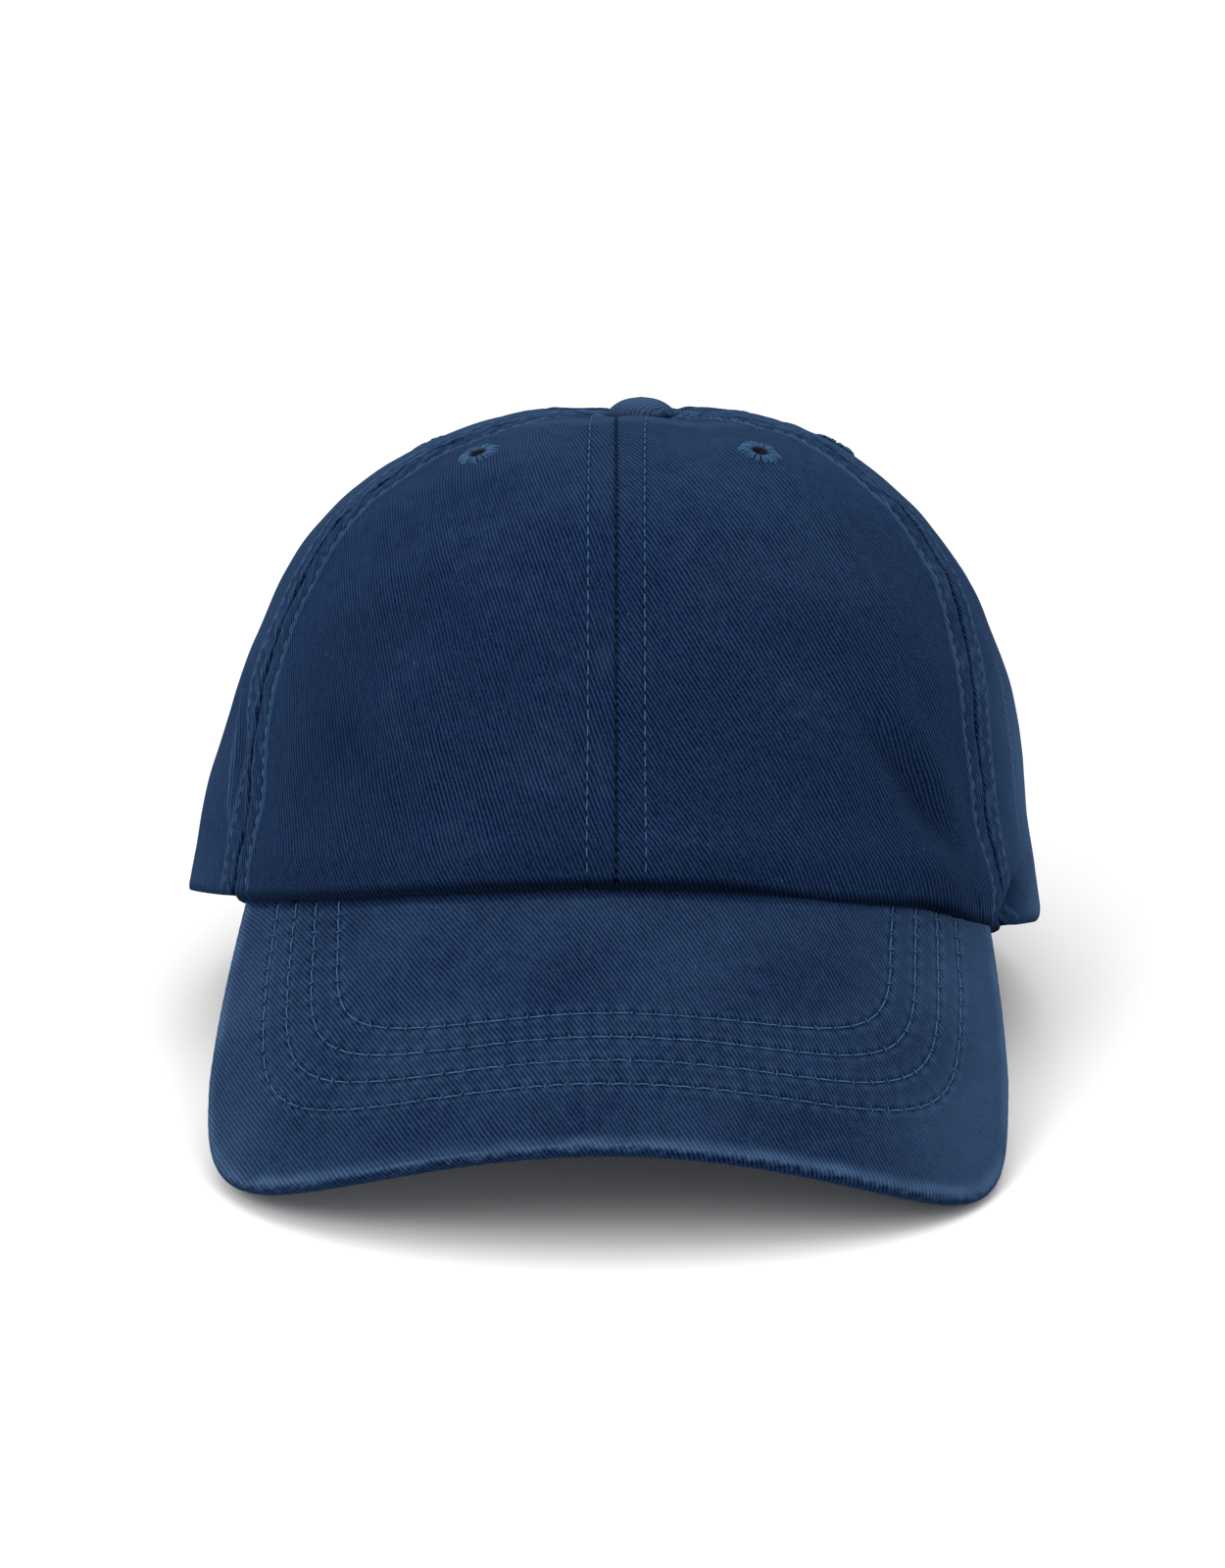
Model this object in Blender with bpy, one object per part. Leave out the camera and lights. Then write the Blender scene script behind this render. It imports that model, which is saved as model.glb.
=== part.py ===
"""Six-panel cotton twill cap with an arched visor, covered button and rear strap with flip buckle.

Every piece is laid out in millimetres in the cap frame (x to the wearer's left, f forward, z up
from the plane of the hem). The finished cap is then pitched so that it stands on a table on the
two visor corners and the rear hem, and scaled to metres with the front of the cap towards -Y.
"""
import math

import bmesh
import bpy
import numpy as np

MM = 0.001
GAP = 0.3                    # clearance between neighbouring pieces

# Crown
HEM_RADIUS = 92.0
CROWN_HEIGHT = 104.6
CROWN_TAPER = 0.161          # radius lost per millimetre of height
SHOULDER_HEIGHT_POWER = 4.0  # how late the wall turns into the top
SHOULDER_RADIUS_POWER = 2.3
BUTTON_HOLE_RADIUS = 4.2
DIMPLE_DEPTH = 3.2           # the top sinks round the button
DIMPLE_RADIUS = 15.0
TOP_TILT = 0.035             # the rear of the top stands higher than the front
SIDE_LEAN = 2.0              # the soft crown leans to the wearer's left
TOP_LEAN = 3.4               # and its top a little more
TOP_LEAN_RADIUS = 60.0
PANEL_FLATNESS = 1.0         # panels are a little flatter than a circle between their seams
FRONT_BULGE = 2.0            # front panels swell over the visor root
FRONT_BULGE_HEIGHT = 14.0
FRONT_BULGE_SPREAD = 14.0
FRONT_HEM_RISE = 4.5         # the visor arches the front hem upwards
LEFT_HEM_DROP = 4.5          # the hem sags beside the visor on the wearer's left
HEM_FADE = 55.0              # height over which hem rise and sag die out
PANEL_THICKNESS = 1.2

# Seams, as azimuths from the front
FRONT_SEAM_LOW = 62.5
FRONT_SEAM_HIGH = 69.0
FRONT_SEAM_RISES = {"left": (35.0, 85.0), "right": (18.0, 48.0)}    # where it leans back
BACK_SEAM = 121.0
REAR_SEAM = 180.0

# Rear opening
OPENING_HALF_WIDTH = 38.0
OPENING_HEIGHT = 45.0
OPENING_POWER = 3.0          # squareness of the arch
FACING_WIDTH = 8.0
FACING_START_HEIGHT = 29.0

# Inside trim
TAPE_WIDTH = 14.0
TAPE_THICKNESS = 0.6
TAPE_END_RADIUS = 17.0
SWEATBAND_HEIGHT = 32.0
SWEATBAND_DEPTH = 5.2        # measured inwards from the outer face of the crown
SWEATBAND_THICKNESS = 1.1
SWEATBAND_END = 151.0

# Visor
VISOR_PITCH = math.radians(52.7)
VISOR_ARCH_RADIUS = 106.0
VISOR_ROOT_RADIUS = 90.6
VISOR_ROOT_AZIMUTH = 61.0
VISOR_HALF_WIDTH = 98.7      # measured on the flat pattern
VISOR_WIDEST_AT = 22.0
VISOR_LENGTH = 67.5
VISOR_CORNER_POWERS = {"left": 3.75, "right": 3.15}  # squareness of the two front corners
VISOR_SIDE_POWER = 1.2
VISOR_SKEW = -0.025
VISOR_ROOT_FADE = 60.0
VISOR_THICKNESS = 3.8
COVER_THICKNESS = 0.7

# Eyelets
EYELET_HOLE_RADIUS = 1.25
EYELET_CUT_RADIUS = 2.0
EYELET_FLANGE_RADIUS = 4.7
EYELET_HEIGHT = 95.0
EYELET_AZIMUTHS = {
    "front": {"left": 38.0, "right": -44.8},
    "side": {"left": 107.0, "right": -107.0},
    "back": {"left": 150.5, "right": -150.5},
}

# Strap and buckle
STRAP_WIDTH = 18.0
STRAP_HEIGHT = 15.5          # height of its centre line above the hem plane
STRAP_DEPTH = 3.3
STRAP_THICKNESS = 1.4
STRAP_SEWN_END = 62.0        # both ends measured along the hem from the rear seam
STRAP_FREE_END = 74.0
BUCKLE_CENTRE = 21.0
BUCKLE_DEPTH = 2.55
BUCKLE_HALF_LENGTH = 11.0
BUCKLE_HALF_WIDTH = 12.5
BUCKLE_SLOT_HALF_LENGTH = 8.6
BUCKLE_SLOT_HALF_WIDTH = 9.8
BUCKLE_THICKNESS = 1.4
PIN_RADIUS = 0.7
PIN_AT = -6.2
PIN_LIFT = 0.95
LEVER_END = 7.2
LEVER_HALF_WIDTH = 8.6
LEVER_KNUCKLE_RADIUS = 1.25
LEVER_BORE_RADIUS = 0.95
LEVER_TOP = 0.6              # the plate's faces, measured outwards from the pin's axis
LEVER_BOTTOM = -0.2
TAB_THICKNESS = 0.5
TAB_TAIL_THICKNESS = 1.1


def smooth(value, start, end):
    """Smooth step from 0 at start to 1 at end."""
    t = np.clip((np.asarray(value, float) - start) / (end - start), 0.0, 1.0)
    return t * t * (3.0 - 2.0 * t)


# ---------------------------------------------------------------- crown surface

def crown_profile():
    """Radius and height along the crown outline with the distance from the hem."""
    t = np.linspace(0.0, 1.0, 3000)
    z = CROWN_HEIGHT * (1.0 - (1.0 - t) ** 3)
    rise = (z / CROWN_HEIGHT) ** SHOULDER_HEIGHT_POWER
    r = (HEM_RADIUS - CROWN_TAPER * z) * (1.0 - rise) ** (1.0 / SHOULDER_RADIUS_POWER)
    length = np.concatenate([[0.0], np.cumsum(np.hypot(np.diff(r), np.diff(z)))])
    return r, z, length


PROFILE_R, PROFILE_Z, PROFILE_LENGTH = crown_profile()
CROWN_LENGTH = PROFILE_LENGTH[-1]


def profile_at(s):
    """Radius and height at distance s up the crown from the hem."""
    return np.interp(s, PROFILE_LENGTH, PROFILE_R), np.interp(s, PROFILE_LENGTH, PROFILE_Z)


def distance_at_radius(radius):
    """Distance up the crown at which its top has narrowed to the given radius."""
    return float(np.interp(-radius, -PROFILE_R, PROFILE_LENGTH))


def profile_normal(s):
    """Outward normal of the crown outline, as its radial and upward parts."""
    r0, z0 = profile_at(np.maximum(s - 0.5, 0.0))
    r1, z1 = profile_at(np.minimum(s + 0.5, CROWN_LENGTH))
    size = np.hypot(r1 - r0, z1 - z0)
    return (z1 - z0) / size, -(r1 - r0) / size


def front_seam_azimuth(s, side):
    """The seam between front and side panels leans back above the hem, sooner on the right."""
    left, right = (smooth(s, *FRONT_SEAM_RISES[word]) for word in ("left", "right"))
    spread = np.where(side > 0.0, left, right) * (1.0 - smooth(s, 115.0, CROWN_LENGTH))
    return FRONT_SEAM_LOW + (FRONT_SEAM_HIGH - FRONT_SEAM_LOW) * spread


def panel_share(azimuth, s):
    """Position between the two nearest seams, from 0 to 1."""
    turn = np.abs(azimuth)
    front = front_seam_azimuth(s, azimuth)
    side = (turn - front) / (BACK_SEAM - front)
    back = (turn - BACK_SEAM) / (REAR_SEAM - BACK_SEAM)
    return np.where(turn < front, turn / front, np.where(turn < BACK_SEAM, side, back))


def hem_height(azimuth):
    """Rise of the hem over the visor and its sag beside it."""
    turn = np.abs(azimuth)
    rise = FRONT_HEM_RISE * 0.5 * (1.0 + np.cos(np.pi * np.minimum(turn / FRONT_SEAM_LOW, 1.0)))
    sag = smooth(azimuth, 60.0, 78.0) * (1.0 - smooth(azimuth, 88.0, 125.0))
    return rise - LEFT_HEM_DROP * sag


def wrap(azimuth):
    """Azimuth brought into the range from -180 to 180."""
    return (azimuth + 180.0) % 360.0 - 180.0


def revolved_point(azimuth, s, depth):
    """Point on the plain surface of revolution, sunk inwards by depth."""
    azimuth, s, depth = np.broadcast_arrays(azimuth, s, depth)
    r, z = profile_at(s)
    normal_r, normal_z = profile_normal(s)
    r = r - depth * normal_r
    z = z - depth * normal_z
    turn = np.radians(azimuth)
    return np.stack([r * np.sin(turn), r * np.cos(turn), z], axis=-1)


def crown_point(azimuth, s, depth=0.0):
    """Point on the crown at an azimuth and a distance up from the hem, sunk inwards by depth."""
    azimuth, s, depth = np.broadcast_arrays(azimuth, s, depth)
    point = revolved_point(azimuth, s, depth)
    r, z = profile_at(s)
    turn = np.radians(azimuth)
    window = 0.5 * (1.0 + np.cos(np.pi * np.minimum(np.abs(azimuth) / FRONT_SEAM_LOW, 1.0)))
    swell = FRONT_BULGE * window * np.exp(-((s - FRONT_BULGE_HEIGHT) / FRONT_BULGE_SPREAD) ** 2)
    flat = PANEL_FLATNESS * np.sin(np.pi * panel_share(azimuth, s)) * smooth(s, 30.0, 60.0)
    flat = flat * smooth(r, 5.0, 30.0)
    radial = swell - flat
    lean = TOP_LEAN * np.clip(1.0 - (r / TOP_LEAN_RADIUS) ** 2, 0.0, 1.0) * smooth(z, 60.0, 95.0)
    lean = lean + SIDE_LEAN * smooth(z, 12.0, 50.0)
    lean = lean * (1.0 - window * smooth(r, 6.0, 25.0))
    hem = hem_height(azimuth) * np.clip(1.0 - s / HEM_FADE, 0.0, 1.0) ** 2
    tilt = TOP_TILT * r * np.cos(turn) * (z / CROWN_HEIGHT) ** 2
    dimple = DIMPLE_DEPTH * np.exp(-(r / DIMPLE_RADIUS) ** 2) * smooth(z, 60.0, 95.0)
    shift = np.stack([radial * np.sin(turn) + lean, radial * np.cos(turn), hem - tilt - dimple],
                     axis=-1)
    return point + shift


def crown_frame(azimuth, s, depth):
    """Origin, tangent (towards growing azimuth), upward and outward directions on the crown."""
    origin = crown_point(azimuth, s, depth)
    across = crown_point(azimuth + 0.5, s, depth) - crown_point(azimuth - 0.5, s, depth)
    upward = crown_point(azimuth, s + 1.0, depth) - crown_point(azimuth, s - 1.0, depth)
    across = across / np.linalg.norm(across)
    outward = np.cross(across, upward)
    outward = outward / np.linalg.norm(outward)
    if np.dot(outward, origin - np.array([0.0, 0.0, 40.0])) < 0.0:
        outward = -outward
    upward = upward - across * np.dot(upward, across)
    upward = upward / np.linalg.norm(upward)
    return origin, across, upward, outward


# ---------------------------------------------------------------- solid builders

def grid_shell(outer, inner):
    """Closed shell between two matching grids of points."""
    rows, cols = outer.shape[:2]
    verts = np.concatenate([outer.reshape(-1, 3), inner.reshape(-1, 3)])

    def index(side, i, j):
        return side * rows * cols + i * cols + j

    faces = []
    for i in range(rows - 1):
        for j in range(cols - 1):
            faces.append([index(0, i, j), index(0, i, j + 1),
                          index(0, i + 1, j + 1), index(0, i + 1, j)])
            faces.append([index(1, i, j), index(1, i + 1, j),
                          index(1, i + 1, j + 1), index(1, i, j + 1)])
    rim = [(i, 0) for i in range(rows)]
    rim += [(rows - 1, j) for j in range(1, cols)]
    rim += [(i, cols - 1) for i in range(rows - 2, -1, -1)]
    rim += [(0, j) for j in range(cols - 2, 0, -1)]
    for k, (i, j) in enumerate(rim):
        next_i, next_j = rim[(k + 1) % len(rim)]
        faces.append([index(0, i, j), index(0, next_i, next_j),
                      index(1, next_i, next_j), index(1, i, j)])
    return verts, faces


def ring_prism(outer, inner, low, high):
    """Prism between two heights whose section is the ring between two matching loops."""
    count = len(outer)
    verts = [(a, b, h) for h in (low, high) for loop in (outer, inner) for a, b in loop]
    faces = []
    for k in range(count):
        n = (k + 1) % count
        faces.append([k, n, 2 * count + n, 2 * count + k])
        faces.append([count + k, 3 * count + k, 3 * count + n, count + n])
        faces.append([k, count + k, count + n, n])
        faces.append([2 * count + k, 2 * count + n, 3 * count + n, 3 * count + k])
    return np.array(verts, float), faces


def revolved(profile, segments):
    """Solid of revolution of a closed section; points at radius 0 become poles."""
    verts = []
    rings = []
    for radius, height in profile:
        if radius == 0.0:
            rings.append([len(verts)] * segments)
            verts.append((0.0, 0.0, height))
            continue
        rings.append(list(range(len(verts), len(verts) + segments)))
        for k in range(segments):
            turn = 2.0 * math.pi * k / segments
            verts.append((radius * math.cos(turn), radius * math.sin(turn), height))
    faces = []
    for low, high in zip(rings, rings[1:] + rings[:1]):
        for k in range(segments):
            n = (k + 1) % segments
            loop = list(dict.fromkeys([low[k], low[n], high[n], high[k]]))
            if len(loop) > 2:
                faces.append(loop)
    return np.array(verts, float), faces


def on_crown(solid, frame):
    """Carry a solid drawn in local coordinates (across, upward, outward) onto the crown."""
    verts, faces = solid
    origin, across, upward, outward = frame
    placed = origin + verts[:, :1] * across + verts[:, 1:2] * upward + verts[:, 2:] * outward
    return placed, faces


# ---------------------------------------------------------------- crown pieces

PANEL_ROWS = 19
TOP_EDGE = distance_at_radius(BUTTON_HOLE_RADIUS)


def opening_edge(azimuth):
    """Height of the rear opening's arch above the hem at an azimuth."""
    across = np.radians(180.0 - np.abs(azimuth)) * HEM_RADIUS / OPENING_HALF_WIDTH
    left_over = np.clip(1.0 - across ** OPENING_POWER, 0.0, 1.0)
    return OPENING_HEIGHT * left_over ** (1.0 / OPENING_POWER)


def seam_edges(region, side, s):
    """Turns from the front to the two seams that bound a panel at distance s up the crown."""
    front = front_seam_azimuth(s, side)
    edges = {"front": (0.0 * s, front),
             "side": (front, BACK_SEAM + 0.0 * s),
             "back": (BACK_SEAM + 0.0 * s, REAR_SEAM + 0.0 * s)}
    return edges[region]


def panel_columns(region):
    """Shares of the panel width at which its grid has columns."""
    if region != "back":
        return np.linspace(0.0, 1.0, 10)
    start = 1.0 - math.degrees(OPENING_HALF_WIDTH / HEM_RADIUS) / (REAR_SEAM - BACK_SEAM)
    arch = start + (1.0 - start) * (1.0 - np.cos(np.linspace(0.0, math.pi / 2.0, 9)))
    return np.concatenate([np.linspace(0.0, start, 6)[:-1], arch])


def panel(region, side):
    """One crown panel between two seams."""
    share = panel_columns(region)[None, :]
    row = np.linspace(0.0, 1.0, PANEL_ROWS)[:, None]
    low = 0.0 * share
    if region == "back":
        low = opening_edge(BACK_SEAM + share * (REAR_SEAM - BACK_SEAM))
    s = low + row * (TOP_EDGE - low)
    start, end = seam_edges(region, side, s)
    inset = np.degrees(0.5 * GAP / np.maximum(profile_at(s)[0] - PANEL_THICKNESS, 3.0))
    azimuth = side * (start + inset + share * (end - start - 2.0 * inset))
    return grid_shell(crown_point(azimuth, s), crown_point(azimuth, s, PANEL_THICKNESS))


def seam_tape(seam, side):
    """Tape that covers one seam on the inside of the crown."""
    top = distance_at_radius(TAPE_END_RADIUS)
    rows = np.linspace(0.0, 1.0, PANEL_ROWS)[:, None]
    low = 3.0 if seam != "rear" else OPENING_HEIGHT + FACING_WIDTH + 1.0
    s = low + rows * (top - low)
    centre = {"front": 0.0 * s, "front_side": front_seam_azimuth(s, side),
              "back_side": BACK_SEAM + 0.0 * s, "rear": REAR_SEAM + 0.0 * s}[seam]
    half = np.degrees(0.5 * TAPE_WIDTH / profile_at(s)[0])
    azimuth = side * (centre + half * np.linspace(-1.0, 1.0, 3)[None, :])
    azimuth = wrap(azimuth) if seam == "rear" else azimuth
    depth = PANEL_THICKNESS + GAP
    return grid_shell(crown_point(azimuth, s, depth),
                      crown_point(azimuth, s, depth + TAPE_THICKNESS))


def sweatband():
    """Band round the inside of the hem, open at the rear."""
    azimuth = np.linspace(-SWEATBAND_END, SWEATBAND_END, 56)[None, :]
    s = np.linspace(0.8, SWEATBAND_HEIGHT, 4)[:, None]
    return grid_shell(crown_point(azimuth, s, SWEATBAND_DEPTH),
                      crown_point(azimuth, s, SWEATBAND_DEPTH + SWEATBAND_THICKNESS))


def opening_facing():
    """Tape that finishes the arch of the rear opening on the inside."""
    share = 2.0 / OPENING_POWER
    start = math.asin((FACING_START_HEIGHT / OPENING_HEIGHT) ** (1.0 / share))
    turn = np.linspace(start, math.pi - start, 25)[None, :]
    width = np.linspace(0.4, FACING_WIDTH, 3)[:, None]
    s = (OPENING_HEIGHT + width) * np.sin(turn) ** share
    across = (OPENING_HALF_WIDTH + width) * np.sign(np.cos(turn)) * np.abs(np.cos(turn)) ** share
    azimuth = wrap(180.0 - np.degrees(across / HEM_RADIUS))
    depth = PANEL_THICKNESS + GAP
    return grid_shell(crown_point(azimuth, s, depth),
                      crown_point(azimuth, s, depth + TAPE_THICKNESS))


def eyelet_frame(region, word):
    """Local frame of an embroidered eyelet."""
    s = float(np.interp(EYELET_HEIGHT, PROFILE_Z, PROFILE_LENGTH))
    return crown_frame(EYELET_AZIMUTHS[region][word], s, 0.0)


def eyelet(region, word):
    """Embroidered vent eyelet that clasps both faces of its panel."""
    inner = -PANEL_THICKNESS - 0.45
    profile = [(EYELET_HOLE_RADIUS, 1.0), (EYELET_FLANGE_RADIUS - 0.6, 1.0),
               (EYELET_FLANGE_RADIUS, 0.45), (EYELET_CUT_RADIUS - GAP, 0.45),
               (EYELET_CUT_RADIUS - GAP, inner), (EYELET_FLANGE_RADIUS - 1.3, inner),
               (EYELET_FLANGE_RADIUS - 1.5, inner - 0.45), (EYELET_HOLE_RADIUS, inner - 0.45)]
    return on_crown(revolved(profile, 16), eyelet_frame(region, word))


def eyelet_cutter(region, word):
    """Punch that opens the panel for its eyelet."""
    reach = 3.0
    profile = [(0.0, -reach), (EYELET_CUT_RADIUS, -reach), (EYELET_CUT_RADIUS, reach), (0.0, reach)]
    return on_crown(revolved(profile, 16), eyelet_frame(region, word))


def button_pieces():
    """Covered button, its core with shank, and the washer inside the crown."""
    apex = crown_point(0.0, CROWN_LENGTH)
    frame = (apex, np.array([1.0, 0.0, 0.0]), np.array([0.0, 1.0, 0.0]), np.array([0.0, 0.0, 1.0]))
    cover = [(0.0, 4.9), (2.6, 4.7), (4.9, 3.9), (6.5, 2.5), (7.0, 1.1), (6.2, 1.1),
             (5.8, 2.2), (4.3, 3.3), (2.3, 4.0), (0.0, 4.2)]
    core = [(0.0, 3.9), (2.1, 3.7), (3.9, 3.0), (5.4, 2.0), (5.6, 1.1), (1.8, 1.1),
            (1.8, -3.4), (0.0, -3.4)]
    washer = [(2.1, -1.8), (6.3, -1.8), (6.6, -2.2), (6.3, -2.6), (2.1, -2.6)]
    return {"button_cover": on_crown(revolved(cover, 20), frame),
            "button_core": on_crown(revolved(core, 16), frame),
            "button_washer": on_crown(revolved(washer, 20), frame)}


# ---------------------------------------------------------------- visor

VISOR_ORIGIN_F = VISOR_ROOT_RADIUS
VISOR_ORIGIN_Z = FRONT_HEM_RISE - GAP
VISOR_GRID_ROWS = 6
VISOR_GRID_COLUMNS = 41
VISOR_EDGE_SKIP = 26         # outline points left out where the fan would pinch at each root corner


def visor_root_forward(p):
    """Forward pattern coordinate at which the visor meets the hem."""
    x = VISOR_ARCH_RADIUS * np.sin(p / VISOR_ARCH_RADIUS)
    drop = VISOR_ARCH_RADIUS * (1.0 - np.cos(p / VISOR_ARCH_RADIUS))
    reach = np.sqrt(np.maximum(VISOR_ROOT_RADIUS ** 2 - x ** 2, 0.0))
    return (reach - VISOR_ORIGIN_F + drop * math.sin(VISOR_PITCH)) / math.cos(VISOR_PITCH)


def visor_point(p, q, depth=0.0):
    """Bent position of pattern point (p across, q forward), sunk below the top by depth."""
    p, q, depth = np.broadcast_arrays(p, q, depth)
    bend = p / VISOR_ARCH_RADIUS
    root = visor_root_forward(p)
    drop = VISOR_ARCH_RADIUS * (1.0 - np.cos(bend))
    root_x = VISOR_ARCH_RADIUS * np.sin(bend)
    root_f = VISOR_ORIGIN_F + root * math.cos(VISOR_PITCH) - drop * math.sin(VISOR_PITCH)
    root_z = VISOR_ORIGIN_Z - root * math.sin(VISOR_PITCH) - drop * math.cos(VISOR_PITCH)
    hem = hem_height(-np.abs(np.degrees(np.arctan2(root_x, root_f)))) - GAP
    pull = (hem - root_z) * np.clip(1.0 - (q - root) / VISOR_ROOT_FADE, 0.0, 1.0) ** 2
    radius = VISOR_ARCH_RADIUS - depth
    sink = VISOR_ARCH_RADIUS - radius * np.cos(bend)
    x = radius * np.sin(bend) + VISOR_SKEW * (q - root)
    f = VISOR_ORIGIN_F + q * math.cos(VISOR_PITCH) - sink * math.sin(VISOR_PITCH)
    z = VISOR_ORIGIN_Z - q * math.sin(VISOR_PITCH) - sink * math.cos(VISOR_PITCH) + pull
    return np.stack([x, f, z], axis=-1)


def visor_corner():
    """Pattern coordinates of the visor's root corner."""
    x = VISOR_ROOT_RADIUS * math.sin(math.radians(VISOR_ROOT_AZIMUTH))
    p = VISOR_ARCH_RADIUS * math.asin(x / VISOR_ARCH_RADIUS)
    return p, float(visor_root_forward(np.array(p)))


def visor_half_outline(corner_power):
    """Free edge of one half of the flat visor pattern, from its root corner to the front."""
    turn = np.linspace(0.0, math.pi / 2.0, 400)
    power = 2.0 / corner_power
    p = VISOR_HALF_WIDTH * np.cos(turn) ** power
    q = VISOR_WIDEST_AT + (VISOR_LENGTH - VISOR_WIDEST_AT) * np.sin(turn) ** power
    corner_p, corner_q = visor_corner()
    side_q = np.linspace(corner_q, VISOR_WIDEST_AT, 200)[:-1]
    share = (VISOR_WIDEST_AT - side_q) / (VISOR_WIDEST_AT - corner_q)
    side_p = VISOR_HALF_WIDTH - (VISOR_HALF_WIDTH - corner_p) * share ** VISOR_SIDE_POWER
    return np.concatenate([np.stack([side_p, side_q], 1), np.stack([p, q], 1)])


def visor_outline():
    """Free edge of the flat visor pattern from its left root corner round to the right one."""
    left = visor_half_outline(VISOR_CORNER_POWERS["left"])
    right = visor_half_outline(VISOR_CORNER_POWERS["right"])
    return np.concatenate([left, right[::-1][1:] * np.array([-1.0, 1.0])])


def inset_outline(outline, distance):
    """Outline moved towards the inside of the pattern."""
    step = np.gradient(outline, axis=0)
    step = step / np.linalg.norm(step, axis=1)[:, None]
    return outline + distance * np.stack([-step[:, 1], step[:, 0]], axis=1)


def resample(line, count):
    """Evenly spaced points along a polyline."""
    length = np.concatenate([[0.0], np.cumsum(np.linalg.norm(np.diff(line, axis=0), axis=1))])
    where = np.linspace(0.0, length[-1], count)
    return np.stack([np.interp(where, length, line[:, k]) for k in range(2)], axis=1)


def visor_pattern(inset, root_gap):
    """Fan of pattern points from the root line (first row) to the free edge (last row)."""
    edge = inset_outline(visor_outline(), inset)
    edge = resample(edge[VISOR_EDGE_SKIP:-VISOR_EDGE_SKIP], VISOR_GRID_COLUMNS)
    corner_p = visor_corner()[0] - inset
    root_p = np.linspace(corner_p, -corner_p, VISOR_GRID_COLUMNS)
    root = np.stack([root_p, visor_root_forward(root_p) + root_gap], axis=1)
    share = np.linspace(0.0, 1.0, VISOR_GRID_ROWS)[:, None, None]
    return root[None] * (1.0 - share) + edge[None] * share


def visor_skin(inset, top_depth, edge_depths):
    """Rows of points over the visor's face and then down its edge."""
    pattern = visor_pattern(inset, 0.0)
    edge = pattern[-1]
    rows = [visor_point(row[:, 0], row[:, 1], top_depth) for row in pattern]
    rows += [visor_point(edge[:, 0], edge[:, 1], depth) for depth in edge_depths]
    return np.array(rows)


def visor_top_cover():
    """Top cover with its edge rolled down round the board."""
    outer = visor_skin(0.0, 0.0, (0.5 * VISOR_THICKNESS, VISOR_THICKNESS))
    inner = visor_skin(COVER_THICKNESS, COVER_THICKNESS, (0.6 * VISOR_THICKNESS, VISOR_THICKNESS))
    return grid_shell(outer, inner)


def visor_layer(top, bottom, inset):
    """Flat layer of the visor between two depths."""
    pattern = visor_pattern(inset, 0.4)
    return grid_shell(visor_point(pattern[..., 0], pattern[..., 1], top),
                      visor_point(pattern[..., 0], pattern[..., 1], bottom))


def visor_pieces():
    """The two covers and the stiffening board."""
    inset = COVER_THICKNESS + GAP
    board_top = COVER_THICKNESS + GAP
    bottom_top = VISOR_THICKNESS - COVER_THICKNESS
    return {"visor_top_cover": visor_top_cover(),
            "visor_board": visor_layer(board_top, bottom_top - GAP, inset),
            "visor_bottom_cover": visor_layer(bottom_top, VISOR_THICKNESS, inset)}


# ---------------------------------------------------------------- rear closure

def arc_azimuth(across):
    """Azimuth of a point a given distance along the hem from the rear seam."""
    return 180.0 - np.degrees(across / HEM_RADIUS)


def strap():
    """Strap that follows the crown's own surface of revolution, so that it can slide round it."""
    across = np.linspace(-STRAP_SEWN_END, STRAP_FREE_END, 30)[None, :]
    s = STRAP_HEIGHT + STRAP_WIDTH * np.linspace(-0.5, 0.5, 3)[:, None]
    azimuth = arc_azimuth(across) + 0.0 * s
    return grid_shell(revolved_point(azimuth, s, STRAP_DEPTH),
                      revolved_point(azimuth, s, STRAP_DEPTH + STRAP_THICKNESS))


def buckle_frame_directions():
    """Local frame of the buckle: along the strap, outwards and upwards."""
    azimuth = float(arc_azimuth(BUCKLE_CENTRE))
    origin = revolved_point(azimuth, STRAP_HEIGHT, BUCKLE_DEPTH)
    rise = revolved_point(azimuth, STRAP_HEIGHT + 5.0, BUCKLE_DEPTH) - origin
    upward = rise / np.linalg.norm(rise)
    turn = math.radians(azimuth)
    along = -np.array([math.cos(turn), -math.sin(turn), 0.0])
    outward = np.cross(along, upward)
    if outward[1] > 0.0:
        outward = -outward
    return origin, along, outward, upward


def rectangle(left, right, low, high):
    """Corners of a rectangle in order."""
    return [(left, low), (right, low), (right, high), (left, high)]


def buckle_frame():
    """Rectangular frame of the buckle, drawn flat and stood up against the strap."""
    outer = rectangle(-BUCKLE_HALF_LENGTH, BUCKLE_HALF_LENGTH,
                      -BUCKLE_HALF_WIDTH, BUCKLE_HALF_WIDTH)
    inner = rectangle(-BUCKLE_SLOT_HALF_LENGTH, BUCKLE_SLOT_HALF_LENGTH,
                      -BUCKLE_SLOT_HALF_WIDTH, BUCKLE_SLOT_HALF_WIDTH)
    verts, faces = ring_prism(outer, inner, 0.0, BUCKLE_THICKNESS)
    origin, along, outward, upward = buckle_frame_directions()
    return on_crown((verts, faces), (origin, along, upward, outward))


def buckle_pin():
    """Cross pin of the buckle."""
    half = BUCKLE_SLOT_HALF_WIDTH - GAP
    profile = [(0.0, -half), (PIN_RADIUS, -half), (PIN_RADIUS, half), (0.0, half)]
    verts, faces = revolved(profile, 12)
    verts = verts + np.array([PIN_AT, PIN_LIFT, 0.0])
    return on_crown((verts, faces), buckle_frame_directions())


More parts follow.
